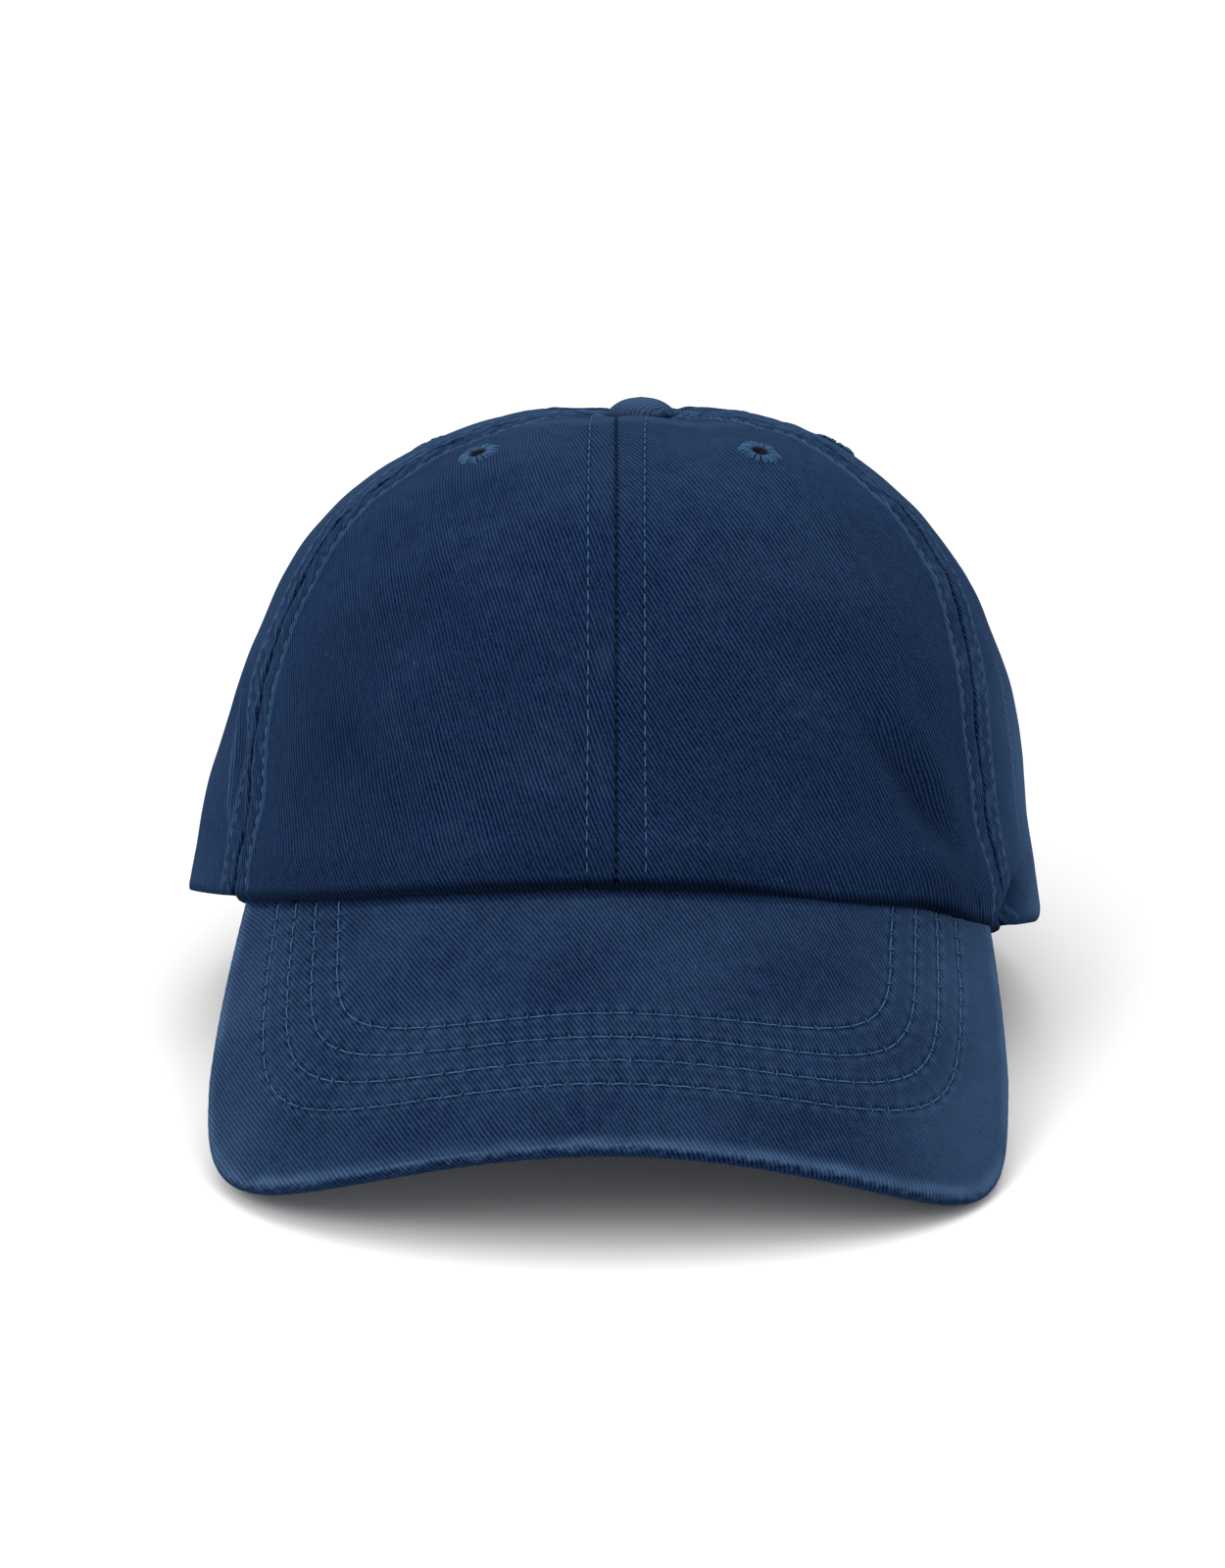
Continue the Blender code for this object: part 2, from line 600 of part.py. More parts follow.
def buckle_lever():
    """Flip lever with a knuckle round the pin."""
    knuckle, bore = LEVER_KNUCKLE_RADIUS, LEVER_BORE_RADIUS
    top, bottom = LEVER_TOP, LEVER_BOTTOM
    start = math.atan2(top, knuckle)
    end = 2.0 * math.pi + math.atan2(bottom, knuckle)
    turns = np.linspace(start, end, 14)
    outer = [(knuckle * math.cos(turn), knuckle * math.sin(turn)) for turn in turns]
    inner = [(bore * math.cos(turn), bore * math.sin(turn)) for turn in turns]
    reach = LEVER_END - PIN_AT
    outer += [(reach, bottom), (reach, top)]
    inner += [(bore, 0.0), (bore * math.cos(0.2), bore * math.sin(0.2))]
    verts, faces = ring_prism(outer, inner, -LEVER_HALF_WIDTH, LEVER_HALF_WIDTH)
    verts = verts + np.array([PIN_AT, PIN_LIFT, 0.0])
    return on_crown((verts, faces), buckle_frame_directions())


def tab_tail(at, depth):
    """Outward position, in the buckle's frame, of a point sunk below the crown's curved face."""
    return BUCKLE_DEPTH - depth - at * at / (2.0 * HEM_RADIUS)


def strap_tab():
    """Fabric loop round the end bar of the buckle, its tail sewn inside the back panel."""
    left = BUCKLE_SLOT_HALF_LENGTH - GAP
    right = BUCKLE_HALF_LENGTH + GAP
    low, high = -GAP, BUCKLE_THICKNESS + GAP
    tail_top = PANEL_THICKNESS + 1.2 * GAP
    tail_ends = (14.0, 20.0, 26.0)
    upper = [(at, tab_tail(at, tail_top)) for at in tail_ends]
    lower = [(at, tab_tail(at, tail_top + TAB_TAIL_THICKNESS)) for at in reversed(tail_ends)]
    bottom = low - TAB_THICKNESS
    outer = [(left - TAB_THICKNESS, high + TAB_THICKNESS), (right, high + TAB_THICKNESS),
             (right + TAB_THICKNESS, high), (right + 1.4, 0.4)]
    outer += upper + lower + [(right, bottom), (left - TAB_THICKNESS, bottom)]
    bar_side = [(right, 1.2 - 0.2 * step) for step in range(7)]
    inner = [(left, high), (0.5 * (left + right), high), (right, high)] + bar_side
    inner += [(right, low), (left, low)]
    verts, faces = ring_prism(outer, inner, -0.5 * STRAP_WIDTH, 0.5 * STRAP_WIDTH)
    return on_crown((verts, faces), buckle_frame_directions())


# ---------------------------------------------------------------- assembly

SIDES = {"left": 1.0, "right": -1.0}


def crown_pieces():
    """All panels, eyelets and inside trim."""
    pieces = {}
    for word, side in SIDES.items():
        for region in ("front", "side", "back"):
            pieces[f"{region}_panel_{word}"] = panel(region, side)
            pieces[f"eyelet_{region}_{word}"] = eyelet(region, word)
        pieces[f"seam_tape_front_{word}"] = seam_tape("front_side", side)
        pieces[f"seam_tape_back_{word}"] = seam_tape("back_side", side)
    pieces["seam_tape_front"] = seam_tape("front", 1.0)
    pieces["seam_tape_rear"] = seam_tape("rear", 1.0)
    pieces["sweatband"] = sweatband()
    pieces["opening_facing"] = opening_facing()
    pieces.update(button_pieces())
    return pieces


def closure_pieces():
    """Strap, tab and buckle."""
    return {"strap": strap(), "strap_tab": strap_tab(), "buckle_frame": buckle_frame(),
            "buckle_pin": buckle_pin(), "buckle_lever": buckle_lever()}


def standing_pitch(points):
    """Pitch at which the rear hem and the visor corners are level with each other."""
    rear = points[points[:, 1] < 0.0]
    front = points[points[:, 1] > 0.0]

    def lowest(group, pitch):
        return np.min(group[:, 1] * math.sin(pitch) + group[:, 2] * math.cos(pitch))

    low, high = 0.0, math.radians(40.0)
    for _ in range(50):
        middle = 0.5 * (low + high)
        if lowest(front, middle) < lowest(rear, middle):
            low = middle
        else:
            high = middle
    return 0.5 * (low + high)


def stand(points, pitch):
    """Turn cap-frame points so that the front rises by the pitch, with the front towards -Y."""
    forward = points[:, 1] * math.cos(pitch) - points[:, 2] * math.sin(pitch)
    height = points[:, 1] * math.sin(pitch) + points[:, 2] * math.cos(pitch)
    return np.stack([points[:, 0], -forward, height], axis=1)


def add_object(name, verts, faces):
    """Make a mesh object with outward-facing faces."""
    mesh = bpy.data.meshes.new(name)
    mesh.from_pydata([tuple(v) for v in verts * MM], [], faces)
    work = bmesh.new()
    work.from_mesh(mesh)
    bmesh.ops.recalc_face_normals(work, faces=work.faces)
    work.to_mesh(mesh)
    work.free()
    obj = bpy.data.objects.new(name, mesh)
    bpy.context.scene.collection.objects.link(obj)
    return obj


def punch(obj, cutter):
    """Cut an eyelet hole through a panel."""
    cutter.display_type = "WIRE"
    cutter.hide_render = True
    cut = obj.modifiers.new("eyelet hole", "BOOLEAN")
    cut.operation = "DIFFERENCE"
    cut.solver = "EXACT"
    cut.object = cutter


def build():
    """Build every piece and stand the cap on the table."""
    for obj in list(bpy.data.objects):
        bpy.data.objects.remove(obj)
    pieces = {**crown_pieces(), **visor_pieces(), **closure_pieces()}
    pitch = standing_pitch(np.concatenate([verts for verts, _ in pieces.values()]))
    placed = {name: stand(verts, pitch) for name, (verts, _) in pieces.items()}
    everything = np.concatenate(list(placed.values()))
    low, high = everything.min(axis=0), everything.max(axis=0)
    shift = np.array([0.5 * (low[0] + high[0]), 0.5 * (low[1] + high[1]), low[2]])
    for name, (_, faces) in pieces.items():
        add_object(name, placed[name] - shift, faces)
    for word in SIDES:
        for region in ("front", "side", "back"):
            verts, faces = eyelet_cutter(region, word)
            cutter = add_object(f"cutter_{region}_{word}", stand(verts, pitch) - shift, faces)
            punch(bpy.data.objects[f"{region}_panel_{word}"], cutter)
    print(f"pitch {math.degrees(pitch):.3f} degrees, shift {shift.round(3)}")


build()
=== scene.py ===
"""Looks of the navy cotton twill cap: woven panels, stitching, eyelets, button, visor and strap.

Shapes are worked out in millimetres in the cap frame (x to the wearer's left, f forward, z up
from the plane of the hem), as in the CAD source, and then stood on the table.
"""
import math

import bmesh
import bpy
import numpy as np
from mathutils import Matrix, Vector


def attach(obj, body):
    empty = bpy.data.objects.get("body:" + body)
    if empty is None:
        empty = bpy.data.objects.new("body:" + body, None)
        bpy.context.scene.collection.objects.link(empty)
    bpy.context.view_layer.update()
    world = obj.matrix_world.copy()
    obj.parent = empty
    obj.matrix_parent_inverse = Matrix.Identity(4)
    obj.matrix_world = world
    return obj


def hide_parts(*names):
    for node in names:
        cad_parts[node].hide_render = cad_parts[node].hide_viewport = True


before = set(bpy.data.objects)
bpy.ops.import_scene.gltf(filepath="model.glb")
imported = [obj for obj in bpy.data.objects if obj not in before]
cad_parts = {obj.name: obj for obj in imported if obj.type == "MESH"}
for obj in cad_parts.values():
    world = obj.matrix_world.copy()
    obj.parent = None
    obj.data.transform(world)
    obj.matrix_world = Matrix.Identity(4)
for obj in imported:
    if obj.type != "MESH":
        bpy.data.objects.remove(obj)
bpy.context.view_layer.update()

MM = 0.001
TINY = 1e-9
FULL_TURN = 2.0 * math.pi
UPWARD = np.array([0.0, 0.0, 1.0])

# How the cap stands on the table
STAND_PITCH = math.radians(19.49972)
STAND_FORWARD = 23.0788
STAND_LIFT = 28.1228

# Crown; its panels lie on the wearer's left and right
SIDES = {"left": 1.0, "right": -1.0}
REGIONS = ("front", "side", "back")
HEM_RADIUS = 92.0
CROWN_HEIGHT = 104.6
CROWN_TAPER = 0.161
SHOULDER_HEIGHT_POWER = 4.0
SHOULDER_RADIUS_POWER = 2.3
BUTTON_HOLE_RADIUS = 4.2
DIMPLE_DEPTH = 3.2
DIMPLE_RADIUS = 15.0
TOP_TILT = 0.035
SIDE_LEAN = 2.0
TOP_LEAN = 3.4
TOP_LEAN_RADIUS = 60.0
PANEL_FLATNESS = 1.0
FRONT_BULGE = 2.0
FRONT_BULGE_HEIGHT = 14.0
FRONT_BULGE_SPREAD = 14.0
FRONT_HEM_RISE = 4.5
LEFT_HEM_DROP = 4.5
HEM_FADE = 55.0
FRONT_SEAM_LOW = 62.5
FRONT_SEAM_HIGH = 69.0
FRONT_SEAM_RISES = {"left": (35.0, 85.0), "right": (18.0, 48.0)}    # where it leans back
BACK_SEAM = 121.0
REAR_SEAM = 180.0
CLOTH_THICKNESS = 1.1
SEAM_GAP = 0.05

# Sewing
TOPSTITCH_OFFSET = 6.0
CROWN_STITCH = 3.3
SEAM_STITCH = 2.2
VISOR_STITCH = 4.4
THREAD_RADIUS = 0.15
STITCH_WEAVE = 4.0           # cloth coordinate at the end of every stitch

# Rear opening
OPENING_HALF_WIDTH = 38.0
OPENING_HEIGHT = 45.0
OPENING_POWER = 3.0
FACING_WIDTH = 8.0
FACING_START_HEIGHT = 29.0

# Inside trim
TAPE_WIDTH = 14.0
TAPE_THICKNESS = 0.5
TAPE_END_RADIUS = 17.0
SWEATBAND_HEIGHT = 32.0
SWEATBAND_ROWS = (4.0, SWEATBAND_HEIGHT - 4.0)    # heights of its stitching
SWEATBAND_DEPTH = 5.2
SWEATBAND_END = 151.0

# Visor
VISOR_PITCH = math.radians(52.7)
VISOR_ARCH_RADIUS = 106.0
VISOR_ROOT_RADIUS = 90.6
VISOR_ROOT_HEIGHT = FRONT_HEM_RISE - 0.3
VISOR_ROOT_AZIMUTH = 61.0
VISOR_HALF_WIDTH = 98.7
VISOR_WIDEST_AT = 22.0
VISOR_LENGTH = 67.5
VISOR_CORNER_POWERS = {"left": 3.75, "right": 3.15}
VISOR_SIDE_POWER = 1.2
VISOR_SKEW = -0.025
VISOR_ROOT_FADE = 60.0
VISOR_THICKNESS = 3.8
VISOR_ROWS = 4
VISOR_ROW_STEP = 5.9
VISOR_ROW_SIDE_STEP = 6.5
VISOR_ROW_HALF_WIDTH = 81.0     # outermost row of stitching, on the flat pattern
VISOR_ROW_LENGTH = 50.8
VISOR_ROW_WIDEST_AT = 8.0
VISOR_ROW_POWER = 3.6
VISOR_ROW_FLARE = 2.8
VISOR_EDGE_SKIP = 8            # points of the outline left off at each root corner
VISOR_COLUMNS = 330

# Eyelets and button
EYELET_HEIGHT = 95.0
EYELET_RADIUS = 4.4
EYELET_HOLE_RADIUS = 1.5
EYELET_AZIMUTHS = {
    "front": {"left": 38.0, "right": -44.8},
    "side": {"left": 107.0, "right": -107.0},
    "back": {"left": 150.5, "right": -150.5},
}
EYELET_THREADS = 40
EYELET_RING = [(1.4, -1.5), (1.4, -0.3), (1.8, 0.12), (3.1, 0.15), (4.0, -0.15), (3.8, -0.5),
               (3.0, -1.5), (1.4, -1.5)]          # section of the padding, radius and height
VENT_CUT_RADIUS = 1.7
BUTTON_SECTION = [(0.02, 4.9), (2.9, 4.6), (5.2, 3.7), (7.0, 2.1), (7.4, 1.0), (6.9, 0.3),
                  (5.8, 0.4), (0.02, 0.7)]       # radius and height

# Strap
STRAP_WIDTH = 18.0
STRAP_HEIGHT = 15.5
STRAP_DEPTH = 3.3
STRAP_THICKNESS = 1.4
STRAP_SEWN_END = 62.0
STRAP_FREE_END = 74.0
BUCKLE_CENTRE = 21.0
BUCKLE_DEPTH = 2.55
# Middle line of the tab, along the strap and outwards from the buckle's centre
TAB_PATH = [(26.0, -2.95), (20.0, -1.45), (14.0, -0.3), (12.2, 0.6), (11.6, 1.5), (11.0, 1.95),
            (9.0, 1.95), (8.3, 1.6), (8.05, 1.0), (8.05, 0.4), (8.3, -0.25), (9.0, -0.55),
            (11.0, -0.6), (12.4, -0.75), (14.0, -0.95), (20.0, -2.05), (26.0, -3.5)]

# Weave
TWILL_PITCH = 0.9
BUTTON_TWILL_PITCH = 0.7
TAPE_YARN = 0.55
TWILL_ANGLES = {("front", "left"): 60.0, ("front", "right"): 71.0}
OTHER_TWILL_ANGLE = 65.0
TRIM_TWILL_ANGLE = 62.0
VISOR_TWILL_ANGLE = 57.6

# Slack cloth
TOP_FOLD_RADIUS = 27.0       # the slack top folds over this far from the button
DIP_RADIUS = 13.0            # and dips this far from it
HEM_OVERHANG = 1.3           # the front panels roll this far over the visor root
HEM_ROLL = 3.0               # height and depth of the hem's rolled edge
HEM_TUCK = 2.2
HEM_SAGS = ((1.8, 12.0, 30.0), (4.7, 42.0, 61.0), (-2.2, 80.0, 93.0))    # depth, azimuths
CLOTH_SWELLS = ((0.5, 62.0, 3), (0.22, 24.0, 4), (0.05, 9.0, 5))    # size, wavelength, seed
PUCKER_LENGTHS = (4.5, 6.5, 9.5, 15.0, 24.0)
PUCKER_SEEDS = {"front": 11, "side": 23, "back": 37}
SEAM_STRENGTHS = {"front": (0.0, 1.0), "side": (1.0, 0.8), "back": (0.8, 0.4)}    # its two seams

# Folds of the slack cloth: ends as (azimuth, height above the hem), width and depth
CREASES = [
    ((36.0, 40.0), (52.0, 8.0), 5.0, 2.0),
    ((80.0, 11.0), (60.0, 0.5), 1.8, 2.2),
    ((76.0, 60.0), (75.5, 8.0), 1.0, -0.7),
    ((-78.0, 44.0), (-67.0, 12.0), 1.1, -0.6),
    ((-74.0, 40.0), (-62.0, 14.0), 3.0, 0.9),
    ((-50.0, 44.0), (-28.0, 20.0), 7.0, 0.5),
]

# Colours are linear; pairs run from the darker to the lighter.
NAVY_DEEP = (0.0006, 0.0045, 0.0180, 1.0)
NAVY_FACE = (0.0162, 0.0338, 0.0870, 1.0)
# The faded navy also serves as the colour of painted light, where the cloth is painted lighter.
NAVY_FADED_AND_LIT = (0.0450, 0.0860, 0.1640, 1.0)
LINT = (0.3, 0.38, 0.5, 1.0)
SEWING_THREAD = ((0.012, 0.042, 0.095, 1.0), (0.048, 0.130, 0.250, 1.0))
EYELET_THREAD = ((0.006, 0.030, 0.080, 1.0), (0.032, 0.115, 0.240, 1.0))
VISOR_THREAD = ((0.016, 0.048, 0.110, 1.0), (0.060, 0.150, 0.290, 1.0))
TAPE = ((0.008, 0.016, 0.045, 1.0), (0.025, 0.05, 0.12, 1.0))
BRASS = ((0.13, 0.085, 0.04, 1.0), (0.5, 0.36, 0.17, 1.0))
STEEL = ((0.28, 0.28, 0.29, 1.0), (0.6, 0.6, 0.6, 1.0))
PLASTIC = ((0.5, 0.5, 0.48, 1.0), (0.62, 0.62, 0.6, 1.0))
FLOOR = ((0.86, 0.86, 0.86, 1.0), (0.9, 0.9, 0.9, 1.0))
METAL = {"Metallic": 1.0}
TWILL_SHEEN = {"Specular IOR Level": 0.0, "Sheen Weight": 0.10, "Sheen Roughness": 0.4,
               "Sheen Tint": (0.25, 0.52, 1.0, 1.0)}

# Place, target and size of each light in metres, and its power in watts.
LIGHTS = {
    "key": ((-1.2, -1.3, 1.5), (0.0, 0.0, 0.07), (1.4, 1.2), 21.5),
    "fill": ((1.3, -1.2, 0.9), (0.0, 0.0, 0.07), (1.2, 1.4), 5.0),
    "top": ((0.0, -0.1, 1.8), (0.0, 0.0, 0.05), (1.6, 1.6), 19.0),
}
SKY_STRENGTH = 0.75
CAMERA_LENS = 297.36          # millimetres on a frame 36 high
CAMERA_DISTANCE = 2.8         # metres
CAMERA_ELEVATION = math.radians(21.0)
CAMERA_TARGET = np.array([-0.8, 0.0, 22.6])    # in the cap frame

rng = np.random.default_rng(7)


def smooth(value, start, end):
    """Smooth step from 0 at start to 1 at end."""
    t = np.clip((np.asarray(value, float) - start) / (end - start), 0.0, 1.0)
    return t * t * (3.0 - 2.0 * t)


def hump(value, centre, width):
    """Bell of height 1 round a centre."""
    return np.exp(-((np.asarray(value, float) - centre) / width) ** 2)


def pulse(along, period):
    """Cosine between 0 and 1, highest at each needle hole along a seam."""
    return 0.5 + 0.5 * np.cos(FULL_TURN * along / period)


def front_window(azimuth, reach):
    """1 at the front of the crown, falling to 0 at the azimuth reach on either side."""
    return 0.5 * (1.0 + np.cos(np.pi * np.minimum(np.abs(azimuth) / reach, 1.0)))


def ripples(points, wavelength, seed, waves=7):
    """Smooth irregular undulation between about -1 and 1 over flat or solid points."""
    dice = np.random.default_rng(seed)
    total = 0.0
    for _ in range(waves):
        direction = unit(dice.normal(size=3))
        rate = FULL_TURN / (wavelength * dice.uniform(0.75, 1.5))
        phase = points @ direction[:points.shape[-1]] * rate
        total = total + np.sin(phase + dice.uniform(0.0, FULL_TURN))
    return total / math.sqrt(waves)


def unit(vectors):
    """Vectors brought to length 1."""
    return vectors / np.maximum(np.linalg.norm(vectors, axis=-1, keepdims=True), TINY)


def line_lengths(line):
    """Distance along a polyline at each of its points."""
    return np.concatenate([[0.0], np.cumsum(np.linalg.norm(np.diff(line, axis=0), axis=1))])


def points_along(line, where):
    """Points at given distances along a polyline."""
    lengths = line_lengths(line)
    return np.stack([np.interp(where, lengths, part) for part in line.T], axis=-1)


def resample(line, count):
    """Evenly spaced points along a polyline."""
    return points_along(line, np.linspace(0.0, line_lengths(line)[-1], count))


def mirrored(left, right):
    """Whole outline from its left half and a right half given as another left one."""
    return np.concatenate([left, right[::-1][1:] * np.array([-1.0, 1.0])])


# ---------------------------------------------------------------- crown surface

def crown_profile():
    """Radius and height along the crown outline with the distance from the hem."""
    t = np.linspace(0.0, 1.0, 3000)
    z = CROWN_HEIGHT * (1.0 - (1.0 - t) ** 3)
    rise = (z / CROWN_HEIGHT) ** SHOULDER_HEIGHT_POWER
    r = (HEM_RADIUS - CROWN_TAPER * z) * (1.0 - rise) ** (1.0 / SHOULDER_RADIUS_POWER)
    return r, z, line_lengths(np.stack([r, z], axis=1))


PROFILE_R, PROFILE_Z, PROFILE_LENGTH = crown_profile()
CROWN_LENGTH = PROFILE_LENGTH[-1]
EYELET_DISTANCE = float(np.interp(EYELET_HEIGHT, PROFILE_Z, PROFILE_LENGTH))


def profile_at(s):
    """Radius and height at distance s up the crown from the hem."""
    return np.interp(s, PROFILE_LENGTH, PROFILE_R), np.interp(s, PROFILE_LENGTH, PROFILE_Z)


def distance_at_radius(radius):
    """Distance up the crown at which its top has narrowed to the given radius."""
    return float(np.interp(-radius, -PROFILE_R, PROFILE_LENGTH))


def profile_normal(s):
    """Outward normal of the crown outline, as its radial and upward parts."""
    s = np.maximum(s, 0.0)
    r0, z0 = profile_at(np.maximum(s - 0.5, 0.0))
    r1, z1 = profile_at(np.minimum(s + 0.5, CROWN_LENGTH))
    size = np.hypot(r1 - r0, z1 - z0)
    return (z1 - z0) / size, -(r1 - r0) / size


def front_seam_azimuth(s, side):
    """The seam between front and side panels leans back above the hem, sooner on the right."""
    left, right = (smooth(s, *FRONT_SEAM_RISES[word]) for word in ("left", "right"))
    spread = np.where(side > 0.0, left, right) * (1.0 - smooth(s, 115.0, CROWN_LENGTH))
    return FRONT_SEAM_LOW + (FRONT_SEAM_HIGH - FRONT_SEAM_LOW) * spread


def seam_azimuths(side, s):
    """Turns from the front to the front, front-side, back-side and rear seams of one side."""
    return [0.0 * s, front_seam_azimuth(s, side), BACK_SEAM + 0.0 * s, REAR_SEAM + 0.0 * s]


def panel_share(azimuth, s):
    """Position between the two nearest seams, from 0 to 1."""
    turn = np.abs(azimuth)
    front = front_seam_azimuth(s, azimuth)
    side = (turn - front) / (BACK_SEAM - front)
    back = (turn - BACK_SEAM) / (REAR_SEAM - BACK_SEAM)
    return np.where(turn < front, turn / front, np.where(turn < BACK_SEAM, side, back))


def hem_height(azimuth):
    """Rise of the hem over the visor and its sag beside it."""
    sag = smooth(azimuth, 60.0, 78.0) * (1.0 - smooth(azimuth, 88.0, 125.0))
    return FRONT_HEM_RISE * front_window(azimuth, FRONT_SEAM_LOW) - LEFT_HEM_DROP * sag


def around(azimuth, outward, upward):
    """Points or directions at an azimuth from their outward and upward parts."""
    turn = np.radians(azimuth)
    return np.stack([outward * np.sin(turn), outward * np.cos(turn), upward], axis=-1)


def revolved_point(azimuth, s, depth):
    """Point on the plain surface of revolution, sunk inwards by depth."""
    azimuth, s, depth = np.broadcast_arrays(azimuth, s, depth)
    r, z = profile_at(s)
    normal_r, normal_z = profile_normal(s)
    return around(azimuth, r - depth * normal_r, z - depth * normal_z)


def crown_point(azimuth, s, depth=0.0):
    """Point on the crown at an azimuth and a distance up from the hem, sunk inwards by depth."""
    azimuth, s, depth = np.broadcast_arrays(azimuth, s, depth)
    r, z = profile_at(s)
    window = front_window(azimuth, FRONT_SEAM_LOW)
    top = smooth(z, 60.0, 95.0)
    swell = FRONT_BULGE * window * hump(s, FRONT_BULGE_HEIGHT, FRONT_BULGE_SPREAD)
    flat = PANEL_FLATNESS * np.sin(np.pi * panel_share(azimuth, s)) * smooth(s, 30.0, 60.0)
    lean = TOP_LEAN * np.clip(1.0 - (r / TOP_LEAN_RADIUS) ** 2, 0.0, 1.0) * top
    lean = (lean + SIDE_LEAN * smooth(z, 12.0, 50.0)) * (1.0 - window * smooth(r, 6.0, 25.0))
    hem = hem_height(azimuth) * np.clip(1.0 - s / HEM_FADE, 0.0, 1.0) ** 2
    tilt = TOP_TILT * r * np.cos(np.radians(azimuth)) * (z / CROWN_HEIGHT) ** 2
    dimple = DIMPLE_DEPTH * hump(r, 0.0, DIMPLE_RADIUS) * top
    shift = around(azimuth, swell - flat * smooth(r, 5.0, 30.0), hem - tilt - dimple)
    shift[..., 0] += lean
    return revolved_point(azimuth, s, depth) + shift


def wrap(azimuth):
    """Azimuth brought into the range from -180 to 180."""
    return (azimuth + 180.0) % 360.0 - 180.0


def crown_normal(azimuth, s):
    """Outward directions of the plain crown surface."""
    azimuth, s = np.broadcast_arrays(azimuth, s)
    return around(azimuth, *profile_normal(s))


def droop(azimuth):
    """How far the hem sags below its built line, where the front folds over the visor."""
    sag = sum(depth * smooth(azimuth, start, end) for depth, start, end in HEM_SAGS)
    built = LEFT_HEM_DROP * smooth(azimuth, 60.0, 78.0)
    return (sag - built) * (1.0 - smooth(azimuth, 88.0, 125.0))


def along_line(azimuth, s, start, end):
    """Distance from a line between two (azimuth, height) spots, its side and a taper at its ends."""
    scale = np.array([math.radians(HEM_RADIUS), 1.0])
    start, end = np.array(start) * scale, np.array(end) * scale
    spot = np.stack([azimuth * scale[0], s + 0.0 * azimuth], axis=-1) - start
    length = np.linalg.norm(end - start)
    way = (end - start) / length
    along = np.clip(spot @ way, 0.0, length)
    side = spot @ np.array([way[1], -way[0]])
    beyond = np.linalg.norm(spot - along[..., None] * way, axis=-1)
    return beyond, side, np.sin(np.pi * np.clip(along / length, 0.04, 0.96)) ** 0.6


def crease(azimuth, s, start, end, width, depth):
    """Groove with a raised lip, or with negative depth a ridge, between (azimuth, height) spots."""
    beyond, side, ends = along_line(azimuth, s, start, end)
    groove = -depth * hump(beyond, 0.0, width)
    lip = 0.55 * max(depth, 0.0) * hump(beyond, 1.7 * width, width) * (side < 0.0)
    return (groove + lip) * ends


def soft_shape(azimuth, s, place):
    """Outward displacement of the slack cloth: swells, folds and creases."""
    radius = profile_at(s)[0]
    turn = np.radians(azimuth)
    top = smooth(s, 80.0, 108.0)
    shape = sum(size * ripples(place, length, seed) for size, length, seed in CLOTH_SWELLS)
    fold = 1.3 - 1.3 * hump(azimuth, 42.0, 16.0) + 0.3 * np.sin(turn * 9.0)
    fold = fold * hump(radius, TOP_FOLD_RADIUS, 8.0) - 1.1 * hump(radius, DIP_RADIUS, 6.0)
    gathers = 0.35 * np.cos(turn * 13.0 + 1.0) * hump(radius, DIP_RADIUS, 6.0)
    shape = shape + (fold * front_window(azimuth, 80.0) + gathers) * top
    shape = shape + 1.7 * hump(s, 7.0, 6.5) * smooth(np.cos(turn), 0.35, 0.7)
    shape = shape + 2.3 * hump(azimuth, 52.0, 13.0) * hump(s, 6.0, 9.0)
    return shape + sum(crease(azimuth, s, *fold_line) for fold_line in CREASES)


def cloth_point(azimuth, s, depth=0.0):
    """Point on the slack crown cloth; s may run a little below the hem."""
    azimuth, s = np.broadcast_arrays(azimuth, s)
    place = crown_point(azimuth, np.maximum(s, 0.0), depth)
    soft = soft_shape(azimuth, s, crown_point(azimuth, np.maximum(s, 0.0)))
    fall = np.minimum(s, 0.0) - droop(azimuth) * np.clip(1.0 - s / 45.0, 0.0, 1.0) ** 2
    return place + crown_normal(azimuth, s) * soft[..., None] + fall[..., None] * UPWARD


def crown_directions(azimuth, s):
    """Across, upward and outward directions of a spot on the crown's face."""
    across = unit(crown_point(azimuth + 0.5, s) - crown_point(azimuth - 0.5, s))
    upward = crown_point(azimuth, s + 1.0) - crown_point(azimuth, s - 1.0)
    outward = unit(np.cross(upward, across))
    return across, unit(upward - across * np.dot(upward, across)), outward


def stand(points):
    """Cap-frame points in millimetres to the row frame in metres."""
    f, z = points[..., 1], points[..., 2]
    forward = f * math.cos(STAND_PITCH) - z * math.sin(STAND_PITCH)
    height = f * math.sin(STAND_PITCH) + z * math.cos(STAND_PITCH)
    return np.stack([points[..., 0], STAND_FORWARD - forward, STAND_LIFT + height], axis=-1) * MM


# ---------------------------------------------------------------- mesh helpers

